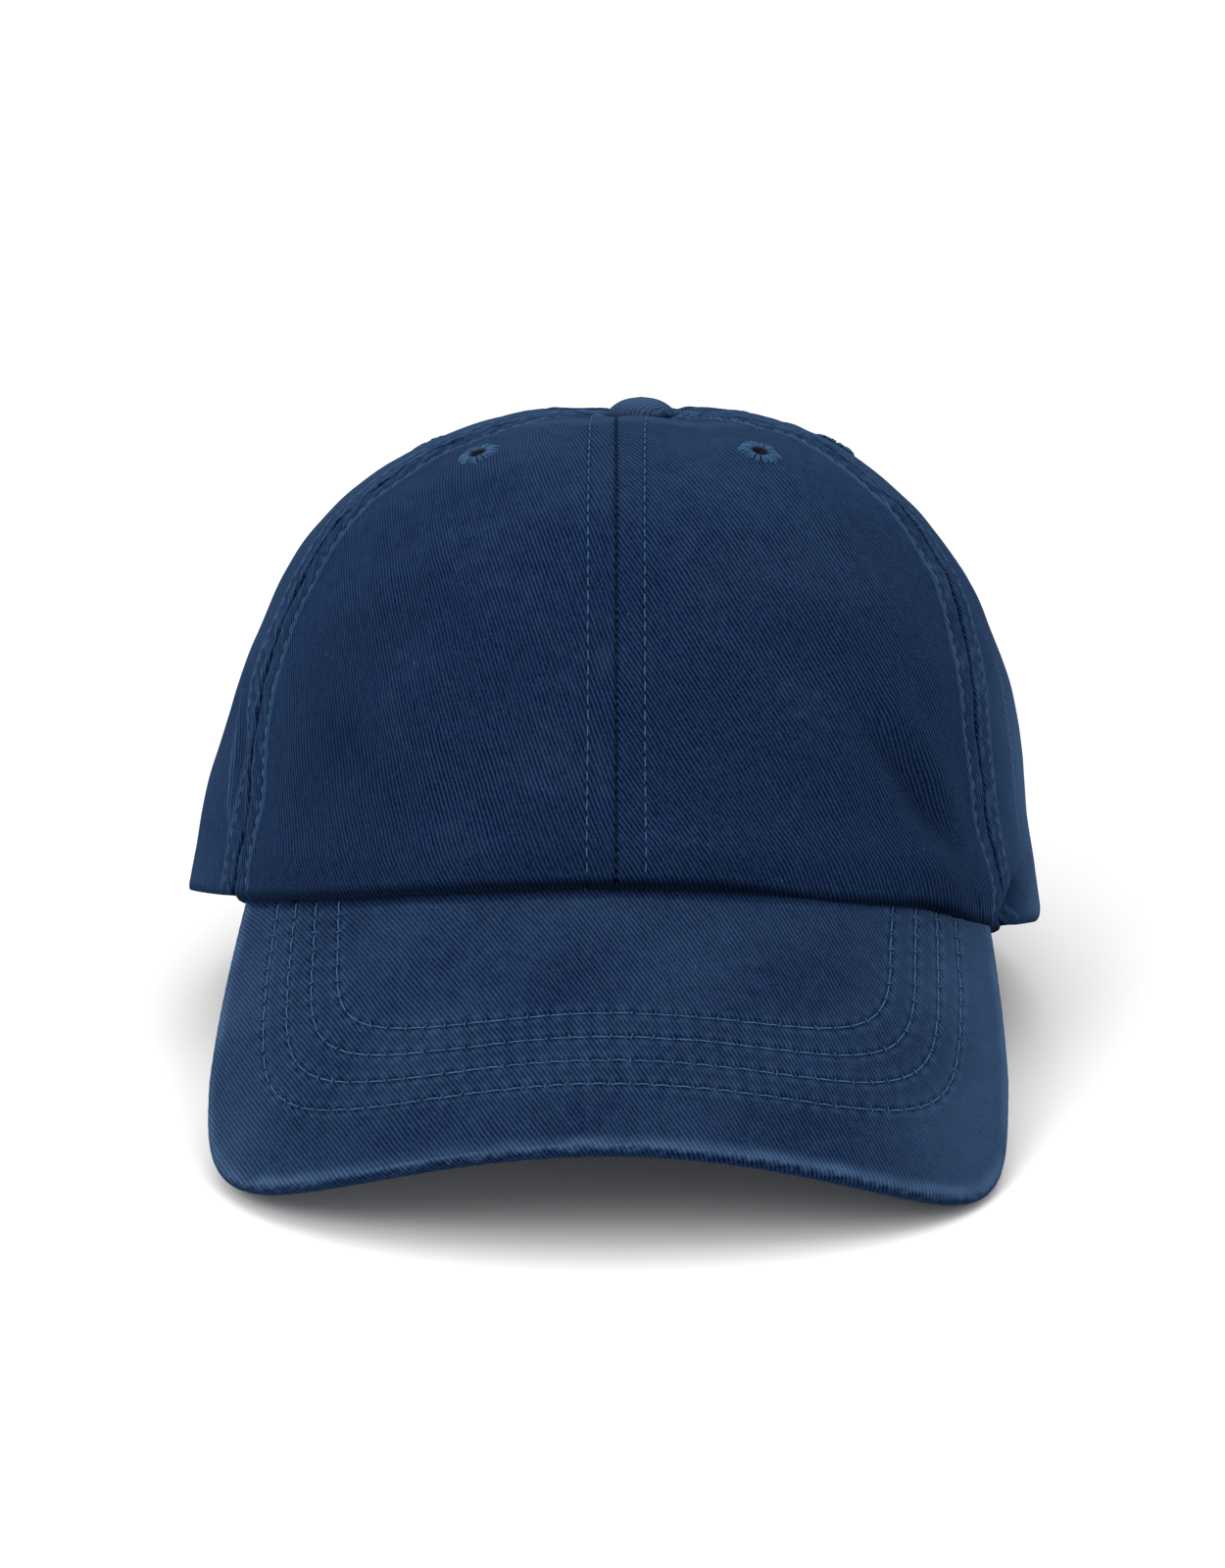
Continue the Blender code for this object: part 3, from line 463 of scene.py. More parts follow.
def make_object(name, points, quads, weave=None, wear_and_painted_light=None):
    """Smooth-shaded mesh object from cap-frame points and quads, with cloth coordinates."""
    verts = stand(points.reshape(-1, 3)).astype(np.float32)
    quads = np.asarray(quads, np.int32)
    mesh = bpy.data.meshes.new(name)
    mesh.vertices.add(len(verts))
    mesh.vertices.foreach_set("co", verts.ravel())
    mesh.loops.add(quads.size)
    mesh.loops.foreach_set("vertex_index", quads.ravel())
    mesh.polygons.add(len(quads))
    mesh.polygons.foreach_set("loop_start", np.arange(0, quads.size, 4, dtype=np.int32))
    mesh.update(calc_edges=True)
    mesh.validate()
    if weave is not None:
        layer = mesh.uv_layers.new(name="Weave")
        index = np.empty(len(mesh.loops), np.int32)
        mesh.loops.foreach_get("vertex_index", index)
        layer.data.foreach_set("uv", weave.reshape(-1, 2)[index].astype(np.float32).ravel())
    if wear_and_painted_light is not None:
        attribute = mesh.attributes.new("WearAndPaintedLight", "FLOAT", "POINT")
        attribute.data.foreach_set("value", wear_and_painted_light.astype(np.float32).ravel())
    work = bmesh.new()
    work.from_mesh(mesh)
    bmesh.ops.recalc_face_normals(work, faces=work.faces)
    work.to_mesh(mesh)
    work.free()
    mesh.polygons.foreach_set("use_smooth", np.ones(len(mesh.polygons), bool))
    return link_object(name, mesh)


def link_object(name, data):
    """New object in the scene."""
    obj = bpy.data.objects.new(name, data)
    bpy.context.scene.collection.objects.link(obj)
    return obj


def grid_quads(rows, cols, closed=False):
    """Quads of a grid of points; a closed grid joins its last column to its first."""
    i, j = np.meshgrid(np.arange(rows - 1), np.arange(cols if closed else cols - 1), indexing="ij")
    n = (j + 1) % cols
    quads = np.stack([i * cols + j, i * cols + n, (i + 1) * cols + n, (i + 1) * cols + j], axis=-1)
    return quads.reshape(-1, 4)


def shell_quads(rows, cols, hole=None):
    """Quads of a closed shell whose points are an outer grid followed by an inner grid.

    hole marks the points of the grid round which the cloth is cut away.
    """
    count = rows * cols
    outer = grid_quads(rows, cols)
    if hole is not None:
        outer = outer[~hole.reshape(-1)[outer].any(axis=1)]
    start = outer.ravel()
    end = np.roll(outer, -1, axis=1).ravel()
    rim = ~np.isin(start * count + end, end * count + start)
    start, end = start[rim], end[rim]
    edge = np.stack([end, start, start + count, end + count], axis=-1)
    return np.concatenate([outer, outer[:, ::-1] + count, edge])


def shell_object(name, outer, inner, weave, wear_and_painted_light=0.0, hole=None):
    """Closed cloth shell between two matching grids; its inner face has neither wear nor painted light
    and shade.
    """
    rows, cols = outer.shape[:2]
    both_wear_and_painted_light = np.stack([np.broadcast_to(wear_and_painted_light, (rows, cols)), np.zeros((rows, cols))])
    quads = shell_quads(rows, cols, hole)
    return make_object(name, np.stack([outer, inner]), quads, np.stack([weave, weave]), both_wear_and_painted_light)


def declare_sheet(obj, face):
    """Hand back a cloth piece as it is; the steps across and along its face, a grid of points, are
    worked out but not used.
    """
    across = face[:-1, 1:] - face[:-1, :-1]
    along = face[1:, :-1] - face[:-1, :-1]
    return obj


def turned_weave(across, along, angle):
    """Cloth coordinates turned so that the twill's ribs run along the second one."""
    turn = math.radians(angle)
    return np.stack([across * math.sin(turn) + along * math.cos(turn),
                     along * math.sin(turn) - across * math.cos(turn)], axis=-1)


def tubes(paths, normals, radius, sides=6):
    """Points and quads of many short tubes; paths is (tubes, samples, 3), radius likewise."""
    tangent = unit(np.gradient(paths, axis=1))
    side = unit(np.cross(tangent, normals))
    up = np.cross(side, tangent)
    turn = np.linspace(0.0, FULL_TURN, sides, endpoint=False)
    ring = (side[:, :, None] * np.cos(turn)[None, None, :, None]
            + up[:, :, None] * np.sin(turn)[None, None, :, None])
    points = paths[:, :, None] + ring * radius[..., None, None]
    count, samples = paths.shape[:2]
    one = grid_quads(samples, sides, closed=True)
    quads = one[None] + (np.arange(count) * samples * sides)[:, None, None]
    weave = np.empty((count, samples, sides, 2))
    weave[..., 0] = STITCH_WEAVE * np.linspace(0.0, 1.0, samples)[:, None]
    weave[..., 1] = turn / FULL_TURN
    return points.reshape(-1, 3), quads.reshape(-1, 4), weave.reshape(-1, 2)


class Stitches:
    """Collects runs of stitches and makes them one object."""

    def __init__(self, name):
        self.name = name
        self.parts = []
        self.count = 0

    def add(self, points, quads, weave):
        """Add ready-made tubes."""
        self.parts.append((points, quads + self.count, weave))
        self.count += len(points)

    def ticks(self, centre, up, forward, radius):
        """Add the small tuft of cloth that each needle hole throws up."""
        across = unit(np.cross(up, forward))
        lean = rng.normal(0.0, 0.35, (len(centre), 1))
        share = np.linspace(-1.0, 1.0, 5)[None, :, None]
        reach = 0.5 * rng.uniform(0.5, 1.5, (len(centre), 1, 1))
        paths = centre[:, None] + share * reach * (across + lean * forward)[:, None]
        paths = paths + (0.16 + 0.12 * (1.0 - share ** 2)) * up[:, None]
        size = radius * (1.05 - 0.5 * share[..., 0] ** 2) * np.ones((len(centre), 1))
        self.add(*tubes(paths, np.broadcast_to(up[:, None], paths.shape), size))

    def run(self, line, normal, pitch, radius=THREAD_RADIUS, slack=0.06, gap=0.16, tufts=False):
        """Add stitches along a line of points with outward normals."""
        length = line_lengths(line)
        count = max(int(length[-1] / pitch), 1)
        step = length[-1] / count
        start = np.arange(count) * step + rng.normal(0.0, 0.03 * pitch, count)
        share = np.linspace(0.0, 1.0, 7)
        gap = gap * step
        where = start[:, None] + gap + share[None] * (step - 1.5 * gap)
        centre = points_along(line, where)
        up = unit(np.stack([np.interp(where, length, part) for part in normal.T], axis=-1))
        bow = np.sin(np.pi * share) ** 0.5
        lift = (bow * 0.95 - 0.75) * radius + slack * bow
        wander = rng.normal(0.0, 0.05, (count, 1, 1)) * np.cross(up, np.gradient(centre, axis=1))
        size = radius * (0.45 + 0.55 * bow) * rng.uniform(0.92, 1.08, (count, 1))
        self.add(*tubes(centre + up * lift[None, :, None] + wander, up, size))
        if tufts:
            forward = unit(centre[:, 1] - centre[:, 0])
            self.ticks(centre[:, 0] - 0.5 * gap * forward, up[:, 0], forward, 0.9 * radius)

    def finish(self):
        """Make the object."""
        return make_object(self.name, *(np.concatenate(part) for part in zip(*self.parts)))


# ---------------------------------------------------------------- crown panels

TOP_EDGE = distance_at_radius(BUTTON_HOLE_RADIUS)


def opening_edge(azimuth):
    """Height of the rear opening's arch above the hem at an azimuth."""
    across = np.radians(180.0 - np.abs(azimuth)) * HEM_RADIUS / OPENING_HALF_WIDTH
    return OPENING_HEIGHT * np.clip(1.0 - across ** OPENING_POWER, 0.0, 1.0) ** (1.0 / OPENING_POWER)


def seam_edges(region, side, s):
    """Turns from the front to the two seams that bound a panel at distance s up the crown."""
    first = REGIONS.index(region)
    return seam_azimuths(side, s)[first:first + 2]


def fine_shares(width, fine, coarse):
    """Shares from 0 to 1 that are finer near both ends."""
    steps = []
    at = 0.0
    while at < 0.5 * width:
        steps.append(at)
        at += fine + (coarse - fine) * float(smooth(at, 9.0, 16.0))
    half = np.array(steps) / width
    return np.concatenate([half, [0.5], 1.0 - half[::-1]])


def seam_relief(distance, along, strength, seed):
    """Height of the cloth beside a sewn seam: rolled edge, raised allowance, stitched channel."""
    edge = np.clip(1.0 - distance / (0.5 + 0.5 * strength), 0.0, 1.0)
    roll = 0.3 + 0.35 * strength + 0.35 * pulse(along, SEAM_STITCH)
    roll = -roll * (1.0 - np.sqrt(1.0 - edge ** 2))
    fall = 1.0 - smooth(distance, 6.3, 9.0)
    allowance = (0.03 + 0.35 * strength) * smooth(distance, 0.3, 2.0) * fall
    channel = 0.05 + 0.1 * pulse(along, CROWN_STITCH) + 0.12 * strength
    channel = -channel * hump(distance, TOPSTITCH_OFFSET, 0.65)
    dice = np.random.default_rng(seed)
    pucker = 0.0
    for length in PUCKER_LENGTHS:
        phase = dice.uniform(0.0, 6.28)
        pucker = pucker + np.sin(FULL_TURN * along / length + phase) * (0.06 + 0.005 * length)
    reach = np.exp(-distance / 5.0) * smooth(distance, 0.0, 1.5)
    pucker = pucker * (reach + 0.25 * hump(distance, TOPSTITCH_OFFSET, 2.2)) * (0.1 + 0.9 * strength)
    return roll + allowance + channel + pucker


def crown_relief(region, side, s, to_first, to_second):
    """Fine displacement of a panel beside its two seams."""
    seed = PUCKER_SEEDS[region] + int(side)
    first, second = SEAM_STRENGTHS[region]
    return (seam_relief(to_first, s, first, seed)
            + seam_relief(to_second, s + 1.7, second, seed + 5))


def panel_surface(region, side, share, row):
    """Azimuth, distance up the crown, distances to both seams and width on a panel's grid."""
    low = -HEM_OVERHANG * (region == "front") + 0.0 * share
    if region == "back":
        low = opening_edge(BACK_SEAM + share * (REAR_SEAM - BACK_SEAM))
    s = low + row * (TOP_EDGE - low)
    start, end = seam_edges(region, side, np.maximum(s, 0.0))
    radius = np.maximum(profile_at(s)[0], 3.0)
    inset = np.degrees(SEAM_GAP / radius)
    turn = start + inset + share * (end - start - 2.0 * inset)
    width = np.radians(end - start) * radius
    to_first = np.radians(turn - start) * radius
    to_second = np.radians(end - turn) * radius
    return side * turn, s, to_first, to_second, width


def panel_wear_and_painted_light(region, azimuth, s, to_first, to_second, place):
    """How washed out the cloth is at seam ridges, raised folds and the top, with painted light on the
    side panels and painted shade in the front hollows, in crease grooves and along the hem; below 0
    darkens the cloth.
    """
    low = 1.0 - smooth(s, 30.0, 65.0)
    ahead = smooth(np.cos(np.radians(azimuth)), 0.2, 0.8) * smooth(s, 80.0, 108.0)
    # Painted shade in the hollows beside the front seams, deeper low on the wearer's left.
    painted_front_shade = (0.13 + 0.13 * low * (azimuth > 0.0)) * (1.0 - smooth(s, 45.0, 75.0))
    wear_and_painted_light = 0.17 * smooth(s, 60.0, 118.0) + 0.04 * ripples(place, 26.0, 8)
    # Painted light: the side panels lighter all round, and much lighter low on the wearer's left, where
    # light catches the corner.
    wear_and_painted_light = wear_and_painted_light + 0.26 * hump(np.abs(azimuth), 92.0, 17.0) + 0.65 * hump(azimuth, 86.0, 13.0) * low
    wear_and_painted_light = wear_and_painted_light - painted_front_shade * hump(np.abs(azimuth), 50.0, 12.0)
    wear_and_painted_light = wear_and_painted_light + 0.3 * hump(profile_at(s)[0], TOP_FOLD_RADIUS + 2.0, 2.5) * ahead
    slit = 0.55 + 0.45 * np.sin(FULL_TURN * s / SEAM_STITCH + 2.0 * ripples(place, 14.0, 9))
    for distance, strength in zip((to_first, to_second), SEAM_STRENGTHS[region]):
        band = np.exp(-((distance - 3.6) / 3.0) ** 4)
        edge_tone = 0.3 * hump(distance, 1.5, 0.8) + 0.6 * hump(distance, 7.0, 0.65)
        edge_tone = edge_tone + 0.22 * band * ripples(place, 2.6, 10)
        wear_and_painted_light = wear_and_painted_light + strength * edge_tone - 0.2 * hump(distance, TOPSTITCH_OFFSET, 0.5)
        wear_and_painted_light = wear_and_painted_light - 1.5 * hump(distance, 0.0, 0.4 + 0.3 * strength) * slit
    # Raised folds are rubbed lighter; crease grooves get painted shade.
    for start, end, width, depth in CREASES:
        beyond, _, ends = along_line(azimuth, s, start, end)
        wear_and_painted_light = wear_and_painted_light + (0.6 if depth < 0.0 else -0.25) * hump(beyond, 0.0, 0.8 * width) * ends
    # Painted shade along the lowest 2 mm of each panel, where the hem rolls in.
    return wear_and_painted_light - 1.0 * (1.0 - smooth(s, -0.6, 2.0))


def crown_panel(region, word):
    """One panel of the crown as a cloth shell with a hole for its vent."""
    side = SIDES[word]
    share = panel_shares(region)[None, :]
    row = fine_shares(CROWN_LENGTH, 0.35, 0.9)[:, None]
    azimuth, s, to_first, to_second, width = panel_surface(region, side, share, row)
    relief = crown_relief(region, side, s, to_first, to_second)
    if region != "back":
        tuck = np.clip(1.0 - (s + HEM_OVERHANG) / HEM_ROLL, 0.0, 1.0)
        relief = relief - HEM_TUCK * (1.0 - np.sqrt(1.0 - tuck ** 2))
    normal = crown_normal(azimuth, s)
    outer = cloth_point(azimuth, s) + normal * relief[..., None]
    inner = cloth_point(azimuth, s, CLOTH_THICKNESS) + normal * np.minimum(relief, 0.0)[..., None]
    across = side * to_first if region == "front" else side * (to_first - 0.5 * width)
    weave = turned_weave(across, s, TWILL_ANGLES.get((region, word), OTHER_TWILL_ANGLE))
    wear_and_painted_light = panel_wear_and_painted_light(region, azimuth, s, to_first, to_second, outer)
    vent = cloth_point(EYELET_AZIMUTHS[region][word], EYELET_DISTANCE)
    hole = np.linalg.norm(outer - vent, axis=-1) < VENT_CUT_RADIUS
    panel = shell_object(f"cloth_{region}_{word}", outer, inner, weave, wear_and_painted_light, hole)
    return declare_sheet(panel, cloth_point(azimuth, s))


def panel_shares(region):
    """Column positions across a panel."""
    if region != "back":
        return fine_shares(96.0, 0.45, 1.1)
    start = 1.0 - math.degrees(OPENING_HALF_WIDTH / HEM_RADIUS) / (REAR_SEAM - BACK_SEAM)
    arch = start + (1.0 - start) * (1.0 - np.cos(np.linspace(0.0, math.pi / 2.0, 60)))
    return np.concatenate([np.linspace(0.0, start, 60)[:-1], arch])


def seam_stitches(stitches):
    """Topstitching on both sides of every crown seam."""
    s = np.linspace(1.5, TOP_EDGE - 4.0, 400)
    radius = profile_at(s)[0]
    offset = np.minimum(TOPSTITCH_OFFSET, 0.42 * radius)
    for side in SIDES.values():
        for region in REGIONS:
            start, end = seam_edges(region, side, s)
            width = np.radians(end - start) * radius
            for to_first, strength in zip((offset, width - offset), SEAM_STRENGTHS[region]):
                turn = side * (start + np.degrees(to_first / radius))
                relief = crown_relief(region, side, s, to_first, width - to_first)
                arch = opening_edge(turn)
                keep = s > np.where(arch > 0.0, arch + 7.0, 0.0)
                normal = crown_normal(turn, s)
                sink = 0.07 if strength > 0.5 else 0.02
                line = cloth_point(turn, s) + normal * (relief - sink)[:, None]
                stitches.run(line[keep], normal[keep], CROWN_STITCH, slack=0.05)


# ---------------------------------------------------------------- eyelets and button

def local_points(spot, flat):
    """Local coordinates (across, upward, outward) of a spot carried to the cap frame."""
    origin, across, upward, outward = spot
    return origin + flat[..., :1] * across + flat[..., 1:2] * upward + flat[..., 2:] * outward


def revolved_grid(profile, segments):
    """Grid of local points turned round the outward axis."""
    profile = np.asarray(profile, float)
    turn = np.linspace(0.0, FULL_TURN, segments, endpoint=False)
    return np.stack([profile[:, :1] * np.cos(turn), profile[:, :1] * np.sin(turn),
                     profile[:, 1:] + 0.0 * turn], axis=-1)


def rounded(points, rounds=2):
    """Open polyline with its corners cut, for smooth sections."""
    points = np.asarray(points, float)
    for _ in range(rounds):
        a, b = points[:-1], points[1:]
        cut = np.stack([0.75 * a + 0.25 * b, 0.25 * a + 0.75 * b], axis=1).reshape(-1, 2)
        points = np.concatenate([points[:1], cut, points[-1:]])
    return points


def satin_threads():
    """Local paths of an eyelet's uneven satin stitches and their thickness."""
    share = np.linspace(0.0, 1.0, 9)
    one_each = (EYELET_THREADS, 1)
    turn = np.arange(EYELET_THREADS) + rng.uniform(-0.3, 0.3, EYELET_THREADS)
    turn = turn * FULL_TURN / EYELET_THREADS
    reach = EYELET_RADIUS + rng.uniform(-0.35, 0.5, EYELET_THREADS)
    radius = EYELET_HOLE_RADIUS + share[None] * (reach[:, None] - EYELET_HOLE_RADIUS)
    height = 0.7 * np.sin(np.pi * np.clip(share * 0.94 + 0.05, 0.0, 1.0)) ** 0.55 - 0.3
    height = height[None] + rng.uniform(-0.1, 0.1, one_each)
    turn = turn[:, None] + 0.06 * share[None] + rng.normal(0.0, 0.02, one_each)
    flat = np.stack([radius * np.cos(turn), radius * np.sin(turn), height], axis=-1)
    return flat, np.broadcast_to(0.15 + 0.07 * share, radius.shape)


def eyelet(region, word):
    """Vent eyelet wound with satin stitches over a padded ring."""
    azimuth = EYELET_AZIMUTHS[region][word]
    across, upward, outward = crown_directions(azimuth, EYELET_DISTANCE)
    spot = (cloth_point(azimuth, EYELET_DISTANCE), across, upward, outward)
    collar = Stitches(f"eyelet_thread_{region}_{word}")
    flat, size = satin_threads()
    normals = np.broadcast_to(outward, flat.shape)
    collar.add(*tubes(local_points(spot, flat), normals, size))
    inside = flat * np.array([0.86, 0.86, 0.0]) + np.array([0.0, 0.0, -1.25])
    inside[..., 2] -= 0.45 * np.sin(np.pi * np.linspace(0.0, 1.0, flat.shape[1]))
    collar.add(*tubes(local_points(spot, inside), normals, np.full(size.shape, 0.24)))
    ring = local_points(spot, revolved_grid(EYELET_RING, 40))
    quads = grid_quads(*ring.shape[:2], closed=True)
    collar.add(ring.reshape(-1, 3), quads, np.zeros((ring.size // 3, 2)))
    return collar.finish()


def button():
    """Cloth-covered button with gathers round its edge."""
    spot = (crown_point(0.0, CROWN_LENGTH), *np.eye(3))
    flat = revolved_grid(rounded(BUTTON_SECTION, 3), 96)
    turn = np.arctan2(flat[..., 1], flat[..., 0])
    radius = np.hypot(flat[..., 0], flat[..., 1])
    gather = 0.13 * np.sin(turn * 17.0 + 1.3 * np.sin(turn * 3.0)) * smooth(radius, 4.5, 7.0)
    flat = flat * (1.0 + (gather / np.maximum(radius, 1.0))[..., None] * np.array([1.0, 1.0, 0.0]))
    weave = turned_weave(flat[..., 0], flat[..., 1], 40.0)
    wear_and_painted_light = 0.35 * smooth(flat[..., 2], 1.5, 4.6) + 0.55
    quads = grid_quads(*flat.shape[:2], closed=True)
    cover = make_object("button_cloth", local_points(spot, flat), quads, weave, wear_and_painted_light)
    return cover


# ---------------------------------------------------------------- visor

def visor_root_forward(p):
    """Forward pattern coordinate at which the visor meets the hem."""
    x = VISOR_ARCH_RADIUS * np.sin(p / VISOR_ARCH_RADIUS)
    drop = VISOR_ARCH_RADIUS * (1.0 - np.cos(p / VISOR_ARCH_RADIUS))
    reach = np.sqrt(np.maximum(VISOR_ROOT_RADIUS ** 2 - x ** 2, 0.0))
    return (reach - VISOR_ROOT_RADIUS + drop * math.sin(VISOR_PITCH)) / math.cos(VISOR_PITCH)


def visor_point(pattern, depth=0.0):
    """Bent position of flat pattern points (across, forward), sunk below the top by depth."""
    p, q, depth = np.broadcast_arrays(pattern[..., 0], pattern[..., 1], depth)
    bend = p / VISOR_ARCH_RADIUS
    root = visor_root_forward(p)
    drop = VISOR_ARCH_RADIUS * (1.0 - np.cos(bend))
    root_x = VISOR_ARCH_RADIUS * np.sin(bend)
    root_f = VISOR_ROOT_RADIUS + root * math.cos(VISOR_PITCH) - drop * math.sin(VISOR_PITCH)
    root_z = VISOR_ROOT_HEIGHT - root * math.sin(VISOR_PITCH) - drop * math.cos(VISOR_PITCH)
    hem = hem_height(-np.abs(np.degrees(np.arctan2(root_x, root_f)))) - 0.3
    pull = (hem - root_z) * np.clip(1.0 - (q - root) / VISOR_ROOT_FADE, 0.0, 1.0) ** 2
    radius = VISOR_ARCH_RADIUS - depth
    sink = VISOR_ARCH_RADIUS - radius * np.cos(bend)
    x = radius * np.sin(bend) + VISOR_SKEW * (q - root)
    f = VISOR_ROOT_RADIUS + q * math.cos(VISOR_PITCH) - sink * math.sin(VISOR_PITCH)
    z = VISOR_ROOT_HEIGHT - q * math.sin(VISOR_PITCH) - sink * math.cos(VISOR_PITCH) + pull
    return np.stack([x, f, z], axis=-1)


def visor_corner():
    """Pattern coordinates of the visor's root corner."""
    x = VISOR_ROOT_RADIUS * math.sin(math.radians(VISOR_ROOT_AZIMUTH))
    p = VISOR_ARCH_RADIUS * math.asin(x / VISOR_ARCH_RADIUS)
    return p, float(visor_root_forward(np.array(p)))


def visor_half_outline(corner_power):
    """Free edge of one half of the flat visor pattern, from its root corner to the front."""
    turn = np.linspace(0.0, math.pi / 2.0, 400)
    power = 2.0 / corner_power
    p = VISOR_HALF_WIDTH * np.cos(turn) ** power
    q = VISOR_WIDEST_AT + (VISOR_LENGTH - VISOR_WIDEST_AT) * np.sin(turn) ** power
    corner_p, corner_q = visor_corner()
    side_q = np.linspace(corner_q, VISOR_WIDEST_AT, 200)[:-1]
    share = (VISOR_WIDEST_AT - side_q) / (VISOR_WIDEST_AT - corner_q)
    side_p = VISOR_HALF_WIDTH - (VISOR_HALF_WIDTH - corner_p) * share ** VISOR_SIDE_POWER
    return np.concatenate([np.stack([side_p, side_q], 1), np.stack([p, q], 1)])


def visor_outline():
    """Free edge of the flat visor pattern from its left root corner round to the right one."""
    return mirrored(*(visor_half_outline(VISOR_CORNER_POWERS[word]) for word in ("left", "right")))


def visor_row(number):
    """Pattern line of one row of visor stitching, number 0 being the outermost."""
    width = VISOR_ROW_HALF_WIDTH - number * VISOR_ROW_SIDE_STEP
    length = VISOR_ROW_LENGTH - number * VISOR_ROW_STEP
    widest = VISOR_ROW_WIDEST_AT - 1.5 * number
    turn = np.linspace(0.0, math.pi / 2.0, 300)
    power = 2.0 / VISOR_ROW_POWER
    side_q = np.linspace(-30.0, widest, 80)[:-1]
    flare = VISOR_ROW_FLARE - 1.3 * number
    side_p = width - flare * ((widest - side_q) / 30.0) ** 1.3
    keep = side_q > visor_root_forward(side_p) + 1.0
    p = np.concatenate([side_p[keep], width * np.cos(turn) ** power])
    q = np.concatenate([side_q[keep], widest + (length - widest) * np.sin(turn) ** power])
    half = np.stack([p, q], axis=1)
    return resample(mirrored(half, half), 420)


def distance_to_line(points, line):
    """Distance of flat points to a polyline and the distance along it."""
    flat = points.reshape(-1, 2)
    length = line_lengths(line)
    near = np.empty(len(flat))
    along = np.empty(len(flat))
    for start in range(0, len(flat), 4000):
        part = slice(start, start + 4000)
        gap = np.linalg.norm(flat[part][:, None] - line[None], axis=-1)
        best = np.argmin(gap, axis=1)
        near[part] = gap[np.arange(len(best)), best]
        along[part] = length[best]
    return near.reshape(points.shape[:-1]), along.reshape(points.shape[:-1])


def stitched_rows(pattern):
    """For each row of visor stitching the distance from it and its needle holes' pulse."""
    for number in range(VISOR_ROWS):
        near, along = distance_to_line(pattern, visor_row(number))
        yield near, pulse(along, VISOR_STITCH)


def visor_fan(rows, cols, inset=0.0, spread=1.0):
    """Pattern points from the root line (first row) to the free edge (last row)."""
    edge = visor_outline()
    step = unit(np.gradient(edge, axis=0))
    edge = edge + inset * np.stack([-step[:, 1], step[:, 0]], axis=1)
    edge = resample(edge[VISOR_EDGE_SKIP:-VISOR_EDGE_SKIP], cols)
    root_p = np.linspace(visor_corner()[0] - inset, inset - visor_corner()[0], cols)
    root = np.stack([root_p, visor_root_forward(root_p) + 0.2], axis=1)
    share = (np.linspace(0.0, 1.0, rows) ** spread)[:, None, None]
    return root[None] * (1.0 - share) + edge[None] * share


def visor_relief(pattern):
    """Height of the stitched cloth over the board: channels, puckers and soft swells."""
    relief = 0.16 * ripples(pattern, 34.0, 21) + 0.05 * ripples(pattern, 8.0, 22)
    for near, needle in stitched_rows(pattern):
        relief -= (0.2 + 0.25 * needle) * hump(near, 0.0, 0.8)
        relief += (0.12 + 0.1 * needle) * hump(near, 1.9, 1.0)
    return relief


def visor_shell():
    """Visor cover: stitched top, rolled edge and the turned-in margin underneath."""
    roll = 0.5 * VISOR_THICKNESS
    top = visor_fan(112, VISOR_COLUMNS, inset=roll, spread=0.92)
    edge_in = top[-1]
    overhang = visor_fan(2, VISOR_COLUMNS)[-1] - edge_in
    direction = unit(overhang)
    grid = [visor_point(top, -visor_relief(top))]
    pattern = [top]
    wear_and_painted_light = [0.15 + visor_top_wear_and_painted_light(top)]
    for turn in np.linspace(0.0, math.pi, 15)[1:]:
        depth = roll * (1.0 - math.cos(turn))
        bumpy = 0.05 * np.sin(np.arange(VISOR_COLUMNS) * 1.9) * math.sin(turn)
        grid.append(visor_point(edge_in + overhang * math.sin(turn), depth - bumpy)[None])
        pattern.append((edge_in + direction * roll * turn)[None])
        # The rolled edge's upper lip is rubbed lighter; its lower half gets painted shade.
        edge_tone = 0.9 * hump(turn, 0.1, 0.55) - 0.22 * smooth(turn, 0.7, 1.3)
        wear_and_painted_light.append(edge_tone + 0.3 * ripples(grid[-1], 1.7, 27) * hump(turn, 0.9, 0.9))
    for inward in (1.5, 3.0, 4.5):
        grid.append(visor_point(edge_in - direction * inward, VISOR_THICKNESS)[None])
        pattern.append((edge_in + overhang * 2.0)[None])
        wear_and_painted_light.append(np.zeros((1, VISOR_COLUMNS)))
    outer, pattern, wear_and_painted_light = (np.concatenate(part) for part in (grid, pattern, wear_and_painted_light))
    inner = visor_inner(top, direction, len(outer) - len(top))
    weave = turned_weave(pattern[..., 0], -pattern[..., 1], VISOR_TWILL_ANGLE)
    return declare_sheet(shell_object("visor_cloth", outer, inner, weave, wear_and_painted_light), outer)


def visor_inner(top, direction, extra):
    """Inner face of the visor cover, a little below its outer face."""
    grid = [visor_point(top, 0.8)]
    for share in np.arange(extra) / (extra - 1.0):
        flat = top[-1] - direction * (0.4 + 4.0 * max(0.0, share - 0.82) / 0.18)
        depth = 0.8 + (VISOR_THICKNESS - 1.2) * min(1.0, share / 0.82)
        grid.append(visor_point(flat, depth)[None])
    return np.concatenate(grid)


